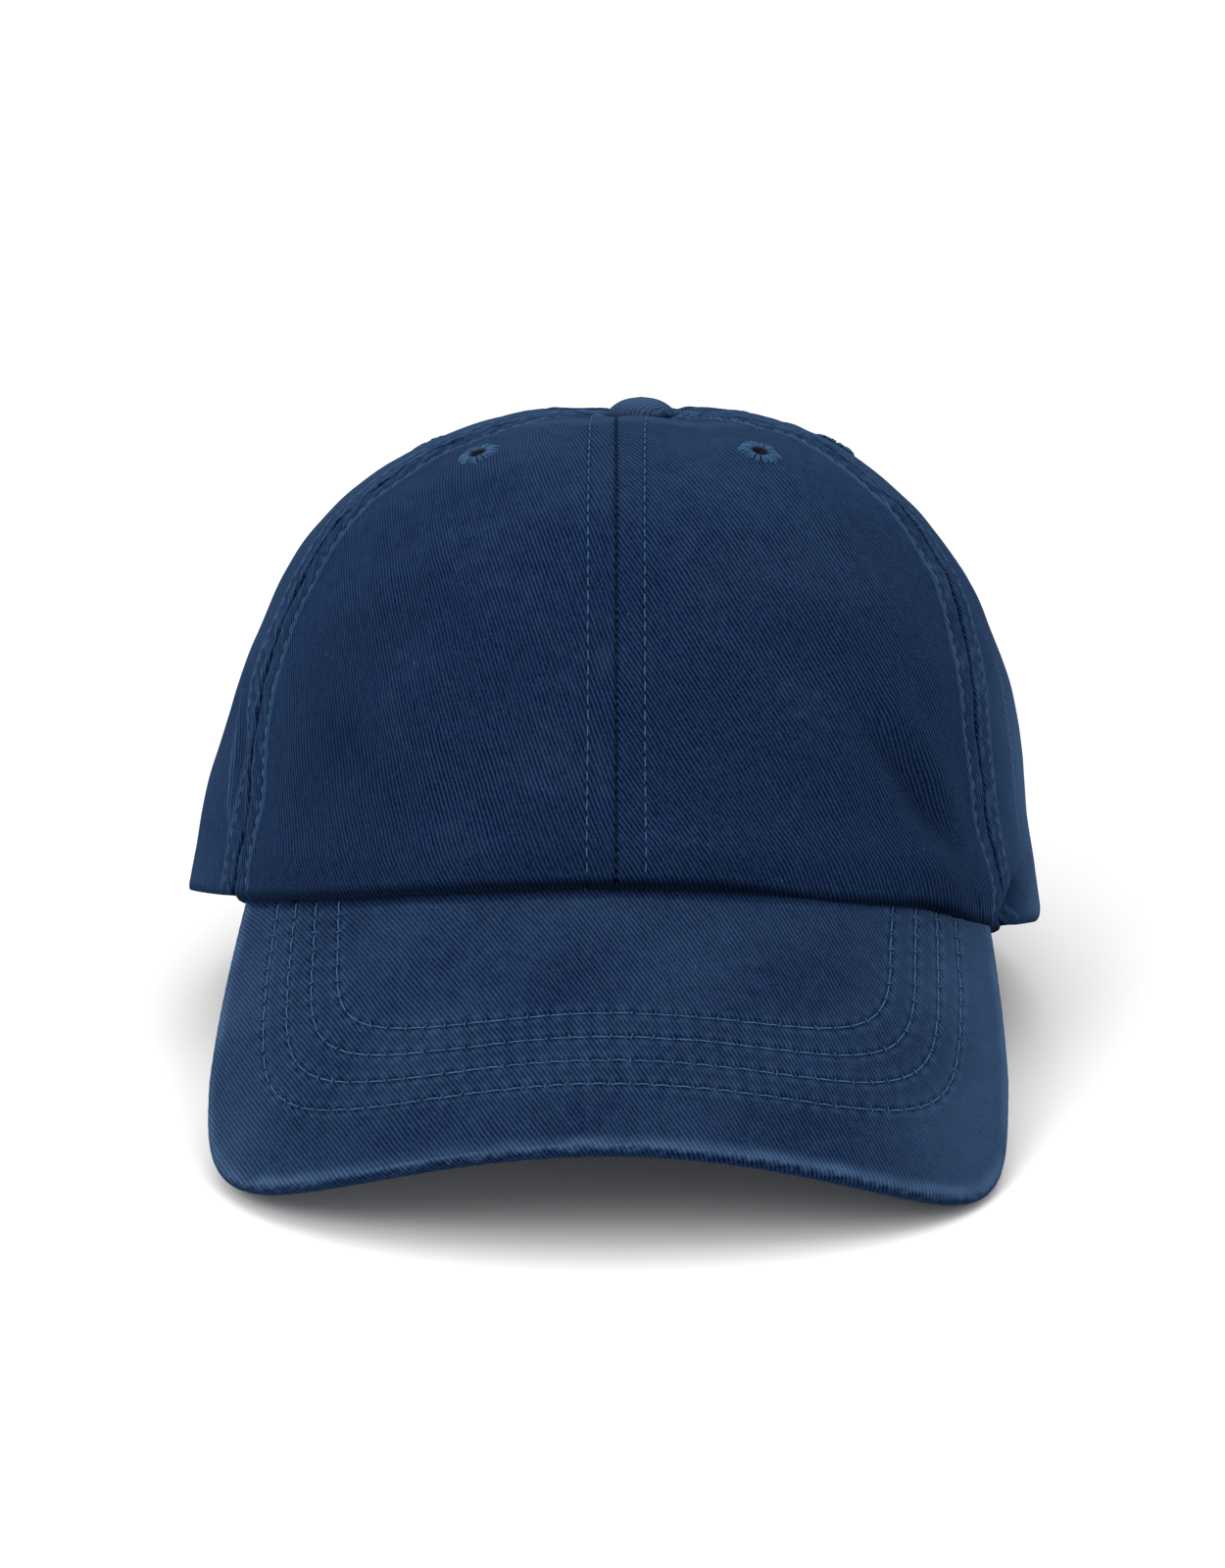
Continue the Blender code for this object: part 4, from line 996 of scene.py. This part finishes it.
def visor_top_wear_and_painted_light(pattern):
    """Fading of the visor's top at its free edge and stitched ridges, with painted shade beside the
    stitches and where the crown covers it, and sides made lighter partly by fading, partly by painted
    light.
    """
    wear_and_painted_light = 0.06 * ripples(pattern, 30.0, 25)
    for near, needle in stitched_rows(pattern):
        # Ridges beside each row are rubbed lighter at the needle holes; between them a painted shadow
        # lies along the row.
        wear_and_painted_light += 0.24 * hump(near, 1.3, 0.7) * needle - 0.35 * hump(near, 0.5, 0.4) * (1.0 - needle)
    edge, _ = distance_to_line(pattern, resample(visor_outline(), 500))
    wear_and_painted_light += (0.55 + 0.25 * ripples(pattern, 7.0, 26)) * hump(edge, 1.9, 1.6)
    # Painted shade where the crown's hem overhangs the visor root.
    ahead = pattern[..., 1] - visor_root_forward(pattern[..., 0])
    wear_and_painted_light -= 1.2 * (1.0 - smooth(ahead, 1.0, 4.5))
    # Sides lighter, more on the wearer's left: partly fading, partly painted light.
    sides = smooth(np.abs(pattern[..., 0]), 60.0, 95.0)
    return wear_and_painted_light + sides * np.where(pattern[..., 0] > 0.0, 0.4, 0.25)


def visor_underside():
    """Cloth cover under the visor."""
    pattern = visor_fan(60, 200, inset=2.4)
    depth = VISOR_THICKNESS + 0.25 - sum(0.25 * hump(near, 0.0, 0.9)
                                         for near, _ in stitched_rows(pattern))
    outer = visor_point(pattern, depth)
    inner = visor_point(pattern, VISOR_THICKNESS - 0.5)
    weave = turned_weave(pattern[..., 0], pattern[..., 1], VISOR_TWILL_ANGLE)
    return declare_sheet(shell_object("visor_under_cloth", outer, inner, weave), outer)


def visor_stitches(stitches):
    """The visor's rows of stitching, on the top and underneath."""
    for number in range(VISOR_ROWS):
        line = visor_row(number)
        relief = visor_relief(line)
        normal = unit(visor_point(line, -1.0) - visor_point(line, 1.0))
        top = visor_point(line, -np.maximum(relief + 0.12, -0.3))
        bottom = visor_point(line, VISOR_THICKNESS + 0.05)
        stitches.run(top, normal, VISOR_STITCH, radius=0.15, slack=0.08, gap=0.08, tufts=True)
        stitches.run(bottom, -normal, VISOR_STITCH, radius=0.16, slack=0.1)


# ---------------------------------------------------------------- inside trim

def tape_shell(name, azimuth, s, depth):
    """Narrow tape that lies on the inside of the crown."""
    outer = crown_point(azimuth, s, depth)
    inner = crown_point(azimuth, s, depth + TAPE_THICKNESS)
    across = np.radians(azimuth) * profile_at(s)[0]
    weave = np.stack(np.broadcast_arrays(across, s), axis=-1)
    return declare_sheet(shell_object(name, outer, inner, weave), outer)


def seam_tape(seam, side, name):
    """Tape over one seam on the inside of the crown."""
    low = OPENING_HEIGHT + FACING_WIDTH + 1.0 if name.endswith("rear") else 3.0
    s = np.linspace(low, distance_at_radius(TAPE_END_RADIUS), 120)[:, None]
    across = np.linspace(-1.0, 1.0, 17)[None, :]
    half = np.degrees(0.5 * TAPE_WIDTH / profile_at(s)[0])
    azimuth = wrap(side * (seam_azimuths(side, s)[seam] + half * across))
    depth = 1.75 - 0.2 * np.abs(across) ** 6 + 0.12 * np.sin(s * 0.55 + across) * (1.0 - np.abs(across))
    return tape_shell(name, azimuth, s, depth)


def opening_facing():
    """Folded tape that finishes the arch of the rear opening."""
    share = 2.0 / OPENING_POWER
    start = math.asin((FACING_START_HEIGHT / OPENING_HEIGHT) ** (1.0 / share))
    turn = np.linspace(start, math.pi - start, 160)[None, :]
    width = np.linspace(-0.6, FACING_WIDTH, 12)[:, None]
    s = (OPENING_HEIGHT + width) * np.sin(turn) ** share
    across = (OPENING_HALF_WIDTH + width) * np.sign(np.cos(turn)) * np.abs(np.cos(turn)) ** share
    return tape_shell("facing_cloth", wrap(180.0 - np.degrees(across / HEM_RADIUS)), s, 1.55)


def sweatband_depth(azimuth, s):
    """Depth of the wavy sweatband under the crown's face; flat where the strap slides past it."""
    place = crown_point(azimuth, s)
    waves = 0.3 * ripples(place, 30.0, 31) * smooth(s, 2.0, 20.0) + 0.09 * ripples(place, 10.0, 32)
    return SWEATBAND_DEPTH + waves * (1.0 - smooth(np.abs(azimuth), 95.0, 115.0))


def sweatband():
    """Soft twill band inside the hem with a rolled upper edge."""
    azimuth = np.linspace(-SWEATBAND_END, SWEATBAND_END, 420)[None, :]
    s = np.linspace(0.6, SWEATBAND_HEIGHT, 34)[:, None]
    depth = sweatband_depth(azimuth, s)
    edge = hump(s, SWEATBAND_HEIGHT - 1.0, 1.6)
    channel = sum(hump(s, row, 0.6) for row in SWEATBAND_ROWS)
    outer = crown_point(azimuth, s, depth - 0.2 * edge + 0.15 * channel)
    inner = crown_point(azimuth, s, depth + 1.2 + 0.45 * edge - 0.25 * channel)
    weave = turned_weave(np.radians(azimuth) * HEM_RADIUS, s, TRIM_TWILL_ANGLE)
    return declare_sheet(shell_object("sweatband_cloth", outer, inner, weave, 0.3 * edge), outer)


def sweatband_stitches(stitches):
    """Two rows of stitching along the sweatband."""
    azimuth = np.linspace(-SWEATBAND_END + 1.0, SWEATBAND_END - 1.0, 500)
    for height in SWEATBAND_ROWS:
        s = np.full_like(azimuth, height)
        depth = sweatband_depth(azimuth, s) + 1.0
        line = crown_point(azimuth, s, depth)
        stitches.run(line, line - crown_point(azimuth, s, depth - 1.0), 3.6, slack=0.08)


# ---------------------------------------------------------------- strap and tab

def strap_azimuth(along):
    """Azimuth of a distance along the strap from the middle of the rear opening."""
    return 180.0 - np.degrees(along / HEM_RADIUS)


def strap():
    """Self-fabric strap, folded and stitched along both edges."""
    along = np.linspace(-STRAP_SEWN_END, STRAP_FREE_END, 220)[None, :]
    across = np.linspace(-1.0, 1.0, 41)[:, None]
    edge = np.sqrt(np.maximum(1.0 - np.clip((np.abs(across) - 0.9) / 0.1, 0.0, 1.0) ** 2, 0.0))
    s = STRAP_HEIGHT + 0.5 * STRAP_WIDTH * across
    bulge = 0.5 * STRAP_THICKNESS * edge - 0.16 * hump(np.abs(across), 0.78, 0.05)
    middle = STRAP_DEPTH + 0.5 * STRAP_THICKNESS
    outer = revolved_point(strap_azimuth(along), s, middle - bulge)
    inner = revolved_point(strap_azimuth(along), s, middle + bulge)
    weave = turned_weave(along, s, TRIM_TWILL_ANGLE)
    wear_and_painted_light = 0.45 * hump(np.abs(across), 0.96, 0.06)
    return declare_sheet(shell_object("strap_cloth", outer, inner, weave, wear_and_painted_light), outer)


def strap_tab():
    """Short cloth loop round the end bar of the buckle, its tail sewn inside the back panel."""
    path = resample(rounded(TAB_PATH, 2), 90)
    step = unit(np.gradient(path, axis=0))
    normal = np.stack([-step[:, 1], step[:, 0]], axis=1)
    across = np.linspace(-0.5, 0.5, 31)[:, None] * STRAP_WIDTH
    edge = 0.25 * np.sqrt(np.clip((9.15 - np.abs(across)) / 0.6, 0.1, 1.0))
    origin, along, outward, upward = buckle_directions()
    faces = []
    for way in (1.0, -1.0):
        flat = path[None] + way * edge[..., None] * normal[None]
        faces.append(origin + flat[..., :1] * along + flat[..., 1:] * outward
                     + across[..., None] * upward)
    weave = turned_weave(np.arange(len(path)) * 0.5, across, TRIM_TWILL_ANGLE)
    wear_and_painted_light = 0.4 * hump(np.abs(across), 8.6, 0.6)
    return declare_sheet(shell_object("tab_cloth", *faces, weave, wear_and_painted_light), faces[0])


def buckle_directions():
    """Local frame of the buckle: origin, along the strap, outwards and upwards."""
    azimuth = strap_azimuth(BUCKLE_CENTRE)
    origin = revolved_point(azimuth, STRAP_HEIGHT, BUCKLE_DEPTH)
    upward = unit(revolved_point(azimuth, STRAP_HEIGHT + 5.0, BUCKLE_DEPTH) - origin)
    turn = math.radians(azimuth)
    along = np.array([-math.cos(turn), math.sin(turn), 0.0])
    outward = np.cross(along, upward)
    return origin, along, outward if outward[1] < 0.0 else -outward, upward


def strap_stitches(stitches):
    """Edge stitching of the strap."""
    along = np.linspace(-STRAP_SEWN_END + 1.0, STRAP_FREE_END - 1.0, 300)
    azimuth = strap_azimuth(along)
    for height in (-7.0, 7.0):
        s = np.full_like(along, STRAP_HEIGHT + height)
        line = revolved_point(azimuth, s, STRAP_DEPTH + 0.1)
        stitches.run(line, line - revolved_point(azimuth, s, STRAP_DEPTH + 1.0), 3.3, slack=0.05)


# ---------------------------------------------------------------- materials

class Value:
    """Output socket of a node, with arithmetic that adds nodes."""

    def __init__(self, nodes, socket):
        self.nodes = nodes
        self.socket = socket

    def math(self, operation, *others, clamp=False):
        """Math node fed by this value and others."""
        inputs = dict(enumerate((self, *others)))
        node = self.nodes.add("Math", inputs, operation=operation, use_clamp=clamp)
        return Value(self.nodes, node.outputs[0])

    def __add__(self, other):
        return self.math("ADD", other)

    def __sub__(self, other):
        return self.math("SUBTRACT", other)

    def __mul__(self, other):
        return self.math("MULTIPLY", other)

    def clamped(self):
        """The value kept between 0 and 1."""
        return self.math("ADD", 0.0, clamp=True)

    def wave(self, period):
        """Cosine wave between 0 and 1 with a period in millimetres."""
        return (self * (FULL_TURN / period)).math("COSINE") * 0.5 + 0.5

    def spread(self, low, high, to_low=0.0, to_high=1.0):
        """Map a range to another with clamping."""
        inputs = {"Value": self, "From Min": low, "From Max": high, "To Min": to_low, "To Max": to_high}
        return Value(self.nodes, self.nodes.add("MapRange", inputs).outputs["Result"])


class Nodes:
    """Small helper for building a node material."""

    def __init__(self, name):
        self.material = bpy.data.materials.new(name)
        self.material.use_nodes = True
        self.tree = self.material.node_tree
        self.tree.nodes.clear()
        self.shader = self.add("BsdfPrincipled")
        self.add("OutputMaterial", {"Surface": Value(self, self.shader.outputs[0])})

    def add(self, kind, inputs=None, **settings):
        """Node with its settings and its inputs, by name or number."""
        node = self.tree.nodes.new("ShaderNode" + kind)
        for name, value in settings.items():
            setattr(node, name, value)
        for key, value in (inputs or {}).items():
            self.feed(node.inputs[key], value)
        return node

    def feed(self, target, value):
        """Set a socket to a number or colour, or join it to a value."""
        if isinstance(value, Value):
            self.tree.links.new(value.socket, target)
        else:
            target.default_value = value

    def noise(self, vector, scale, detail=3.0, roughness=0.55):
        """Noise value round 0.5."""
        inputs = {"Vector": vector, "Scale": scale, "Detail": detail, "Roughness": roughness}
        return Value(self, self.add("TexNoise", inputs).outputs["Fac"])

    def mix(self, factor, first, second):
        """Colour mix."""
        node = self.add("Mix", data_type="RGBA")
        for number, value in ((0, factor), (6, first), (7, second)):
            self.feed(node.inputs[number], value)
        return Value(self, node.outputs[2])

    def parts(self, vector):
        """The three parts of a vector."""
        return [Value(self, part) for part in self.add("SeparateXYZ", {0: vector}).outputs]

    def combine(self, x, y, z=0.0):
        """Vector from three values."""
        return Value(self, self.add("CombineXYZ", {0: x, 1: y, 2: z}).outputs[0])

    def weave(self):
        """Cloth coordinates in millimetres: as a vector, across the ribs and along them."""
        vector = Value(self, self.add("UVMap", uv_map="Weave").outputs["UV"])
        return [vector] + self.parts(vector)[:2]

    def place(self):
        """Object coordinates in metres."""
        return Value(self, self.add("TexCoord").outputs["Object"])

    def wear_and_painted_light(self):
        """How washed out the cloth is, carrying painted light and painted shade as well."""
        return Value(self, self.add("Attribute", attribute_name="WearAndPaintedLight").outputs["Fac"])

    def bump(self, height, distance, strength, normal=None):
        """Bump of this many metres from a height between about 0 and 1."""
        inputs = {"Height": height, "Distance": distance, "Strength": strength}
        if normal:
            inputs["Normal"] = normal
        return Value(self, self.add("Bump", inputs).outputs[0])

    def finish(self, colour, roughness, normal=None, constants=None):
        """Feed the shader and return the material."""
        inputs = {"Base Color": colour, "Roughness": roughness, **(constants or {})}
        if normal:
            inputs["Normal"] = normal
        for key, value in inputs.items():
            self.feed(self.shader.inputs[key], value)
        return self.material


def darker(colour, share):
    """A colour brought down to a share of its brightness."""
    return tuple(share * part for part in colour[:3]) + (1.0,)


def twill_material(name, pitch):
    """Washed cotton twill: diagonal ribs of warp floats, yarn breaks, fading, painted light and shade,
    and lint.
    """
    nodes = Nodes(name)
    vector, x, y = nodes.weave()
    place = nodes.place()
    wear_and_painted_light = nodes.wear_and_painted_light()
    rib = x + nodes.noise(vector, 0.045, 2.0) * 1.5 + nodes.noise(vector, 1.3, 2.0) * 0.16
    rib = rib.wave(pitch)
    yarn = (x * 0.8 + y * 0.6).wave(0.5)
    grain = nodes.noise(vector, 2.4, 3.0, 0.8)
    streak = nodes.noise(nodes.combine(x, y * 0.25), 1.0, 3.0, 0.6)
    fuzz = nodes.noise(place, 950.0, 2.0, 0.7)
    clear = nodes.noise(place, 45.0).spread(0.35, 0.65, 0.65, 1.0) * wear_and_painted_light.spread(0.4, 1.0, 1.0, 0.4)
    level = (rib - 0.5) * clear * 0.95 + 0.42
    for pattern, strength in ((grain, 2.0), (streak, 0.6), (fuzz, 0.7), (yarn, 0.28)):
        level = level + (pattern - 0.5) * strength
    colour = nodes.mix(level.clamped(), NAVY_DEEP, NAVY_FACE)
    # Lighter towards faded navy where the attribute is above 0: fading, and painted light on the side
    # panels and the visor's sides.
    colour = nodes.mix(fading_and_painted_light(nodes, place, wear_and_painted_light, rib), colour, NAVY_FADED_AND_LIT)
    # Darker where it is below 0: the seam lines, and painted shade along the hem, at the visor root, in
    # crease grooves, in the front hollows, beside the visor stitches and under the visor's rolled edge.
    colour = nodes.mix((wear_and_painted_light * -0.8).clamped(), colour, darker(NAVY_DEEP, 0.3))
    height = rib * wear_and_painted_light.spread(0.4, 1.0, 1.0, 0.35) + yarn * 0.25 + grain * 1.1
    soft = nodes.bump(nodes.noise(place, 900.0, 2.0), 0.0003, 0.4)
    return nodes.finish(lint(nodes, place, colour), grain.spread(0.3, 0.7, 0.85, 0.97),
                        nodes.bump(height, 0.00017, 1.0, soft), TWILL_SHEEN)


def fading_and_painted_light(nodes, place, wear_and_painted_light, rib):
    """How far the cloth is lightened towards faded navy, by washing out and by painted light, more on
    the ribs than between them.
    """
    wash = (nodes.noise(place, 30.0) - 0.5) * 0.10
    blotch = (nodes.noise(place, 240.0, 4.0, 0.65) - 0.5) * 0.38
    return ((wear_and_painted_light + wash + blotch).math("MAXIMUM", 0.0) * (rib * 0.7 + 0.45)).clamped()


def lint(nodes, place, colour):
    """Sparse short pale fibres of fluff."""
    turned = {"Vector": place, "Rotation": (0.5, 0.3, 0.9), "Scale": (1.0, 0.45, 1.0)}
    stretched = Value(nodes, nodes.add("Mapping", turned).outputs["Vector"])
    cells = nodes.add("TexVoronoi", {"Vector": stretched, "Scale": 260.0})
    near = Value(nodes, cells.outputs["Distance"]).spread(0.02, 0.06, 1.0, 0.0)
    pick = nodes.add("SeparateColor", {0: Value(nodes, cells.outputs["Color"])})
    rare = Value(nodes, pick.outputs[0]).math("GREATER_THAN", 0.92)
    return nodes.mix(near * rare * 0.2, colour, LINT)


def thread_material(name, deep, face, shaded=0.0):
    """Twisted sewing thread, with painted shade over this much of each stitch's first end."""
    nodes = Nodes(name)
    _, x, y = nodes.weave()
    ply = (y * FULL_TURN + x * 22.0).math("SINE") * 0.5 + 0.5
    change = nodes.noise(nodes.place(), 140.0, 2.0)
    colour = nodes.mix(ply * 0.4 + change * 0.7, deep, face)
    if shaded:
        # Painted shade by the eyelet hole; pieces whose cloth coordinate is 0, such as the padded ring,
        # are painted dark all over.
        hole_shade = x.spread(0.3 * shaded, shaded, 1.0, 0.0)
        colour = nodes.mix(hole_shade, colour, darker(deep, 0.08))
    return nodes.finish(colour, change.spread(0.3, 0.7, 0.5, 0.7),
                        nodes.bump(ply, 0.00006, 0.8), {"Specular IOR Level": 0.2})


def tape_material(name, deep, face):
    """Plain woven tape."""
    nodes = Nodes(name)
    vector, x, y = nodes.weave()
    plain = x.wave(TAPE_YARN) * y.wave(TAPE_YARN) * 0.8 + 0.2
    grain = nodes.noise(vector, 1.8)
    return nodes.finish(nodes.mix(grain * 0.6 + plain * 0.45, deep, face),
                        grain.spread(0.3, 0.7, 0.8, 0.95), nodes.bump(plain, 0.0001, 0.8),
                        {"Sheen Weight": 0.2})


def brass_material(name):
    """Antique brass: dark in the hollows, rubbed brighter, finely brushed."""
    nodes = Nodes(name)
    place = nodes.place()
    x, y, z = nodes.parts(place)
    brush = nodes.noise(nodes.combine(x * 300.0, y * 300.0, z * 4200.0), 1.0, 2.0)
    patina = nodes.noise(place, 420.0, 4.0, 0.6).spread(0.38, 0.66)
    return nodes.finish(nodes.mix(patina, *BRASS), brush.spread(0.3, 0.7, 0.28, 0.5),
                        nodes.bump(brush, 0.00003, 0.4), METAL)


def plain_material(name, noise, colours, roughness, relief=None, constants=None):
    """Plain surface whose colour, roughness and relief all follow one noise."""
    nodes = Nodes(name)
    change = nodes.noise(nodes.place(), *noise)
    normal = nodes.bump(change, *relief) if relief else None
    rough = change.spread(0.3, 0.7, *roughness)
    return nodes.finish(nodes.mix(change, *colours), rough, normal, constants)


def paint(obj, material):
    """Give an object one material."""
    obj.data.materials.clear()
    obj.data.materials.append(material)


# ---------------------------------------------------------------- studio

def area_light(name, place, target, size, power):
    """Soft square light aimed at a point."""
    data = bpy.data.lights.new(name, "AREA")
    data.shape = "RECTANGLE"
    data.size, data.size_y = size
    data.energy = power
    lamp = link_object(name, data)
    lamp.location = place
    aim(lamp, target)


def aim(obj, target):
    """Point an object's -Z axis at a target."""
    direction = Vector(target) - obj.location
    obj.rotation_euler = direction.to_track_quat("-Z", "Y").to_euler()


def studio():
    """Pale floor, soft even light, and the camera in front and a little above."""
    scene = bpy.context.scene
    mesh = bpy.data.meshes.new("floor")
    mesh.from_pydata([(-6, -6, 0), (6, -6, 0), (6, 6, 0), (-6, 6, 0)], [], [(0, 1, 2, 3)])
    floor = link_object("floor", mesh)
    paint(floor, plain_material("studio_floor", (3.0, 2.0), FLOOR, (0.8, 0.9)))
    world = bpy.data.worlds.new("studio")
    world.use_nodes = True
    background = world.node_tree.nodes["Background"]
    background.inputs["Color"].default_value = (1.0, 1.0, 1.0, 1.0)
    background.inputs["Strength"].default_value = SKY_STRENGTH
    scene.world = world
    for name, settings in LIGHTS.items():
        area_light(name, *settings)
    scene.view_settings.view_transform = "Standard"
    camera_data = bpy.data.cameras.new("camera")
    camera_data.sensor_fit = "VERTICAL"
    camera_data.sensor_height = 36.0
    camera_data.lens = CAMERA_LENS
    camera_data.clip_end = 20.0
    camera = link_object("camera", camera_data)
    target = stand(CAMERA_TARGET)
    camera.location = (target[0], target[1] - CAMERA_DISTANCE * math.cos(CAMERA_ELEVATION),
                       target[2] + CAMERA_DISTANCE * math.sin(CAMERA_ELEVATION))
    aim(camera, tuple(target))
    scene.camera = camera


# ---------------------------------------------------------------- assembly

def ride(obj, body, slot, material, *nodes):
    """Finish a piece: its body, material and the CAD nodes it stands for; slot is not used."""
    paint(obj, material)
    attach(obj, body)
    if nodes:
        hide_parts(*nodes)


def sewing(name, sew, body, thread):
    """All the stitches that one function adds, as one piece."""
    stitches = Stitches(name)
    sew(stitches)
    ride(stitches.finish(), body, "navy_thread", thread)


def crown(twill, thread, satin):
    """All crown pieces."""
    for word in SIDES:
        for region in REGIONS:
            piece = crown_panel(region, word)
            ride(piece, "cap", "navy_twill", twill, f"{region}_panel_{word}")
            ride(eyelet(region, word), "cap", "navy_thread", satin, f"eyelet_{region}_{word}")
    smoother = twill_material("button_twill", BUTTON_TWILL_PITCH)
    ride(button(), "cap", "navy_twill", smoother, "button_cover")
    sewing("crown_topstitching", seam_stitches, "cap", thread)


def visor(twill):
    """The visor's cloth and its stitching."""
    ride(visor_shell(), "cap", "navy_twill", twill, "visor_top_cover")
    ride(visor_underside(), "cap", "navy_twill", twill, "visor_bottom_cover")
    thread = thread_material("visor_thread", *VISOR_THREAD)
    sewing("visor_stitching", visor_stitches, "cap", thread)


def trim(twill, thread):
    """Tapes, facing and sweatband."""
    tape = tape_material("seam_tape", *TAPE)
    tapes = [("seam_tape_front", 0, 1.0), ("seam_tape_rear", 3, 1.0)]
    for word, side in SIDES.items():
        tapes += [(f"seam_tape_front_{word}", 1, side), (f"seam_tape_back_{word}", 2, side)]
    for node, seam, side in tapes:
        ride(seam_tape(seam, side, f"cloth_{node}"), "cap", "seam_tape", tape, node)
    ride(opening_facing(), "cap", "seam_tape", tape, "opening_facing")
    ride(sweatband(), "cap", "sweatband_twill", twill, "sweatband")
    sewing("sweatband_stitching", sweatband_stitches, "cap", thread)


def closure(twill, thread):
    """Strap, its tab, and the CAD's metal and plastic parts."""
    ride(strap(), "strap", "navy_twill", twill, "strap")
    sewing("strap_stitching", strap_stitches, "strap", thread)
    ride(strap_tab(), "cap", "navy_twill", twill, "strap_tab")
    brass = brass_material("antique_brass")
    for name in ("buckle_frame", "buckle_pin", "buckle_lever"):
        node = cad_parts[name]
        paint(node, brass)
        bevel = node.modifiers.new("soft edges", "BEVEL")
        bevel.width = 0.00025
        bevel.segments = 3
        bevel.limit_method = "ANGLE"
    steel = plain_material("button_steel", (300.0, 4.0, 0.6), STEEL, (0.35, 0.55), (0.00005, 0.3), METAL)
    for name in ("button_core", "button_washer"):
        paint(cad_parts[name], steel)
    board = plain_material("visor_plastic", (1500.0, 3.0), PLASTIC, (0.5, 0.65), (0.00005, 0.4))
    paint(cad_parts["visor_board"], board)


def main():
    """Dress the frame and light it."""
    twill = twill_material("navy_twill", TWILL_PITCH)
    thread = thread_material("sewing_thread", *SEWING_THREAD)
    satin = thread_material("eyelet_thread", *EYELET_THREAD, shaded=1.1)
    crown(twill, thread, satin)
    visor(twill)
    trim(twill, thread)
    closure(twill, thread)
    studio()


main()
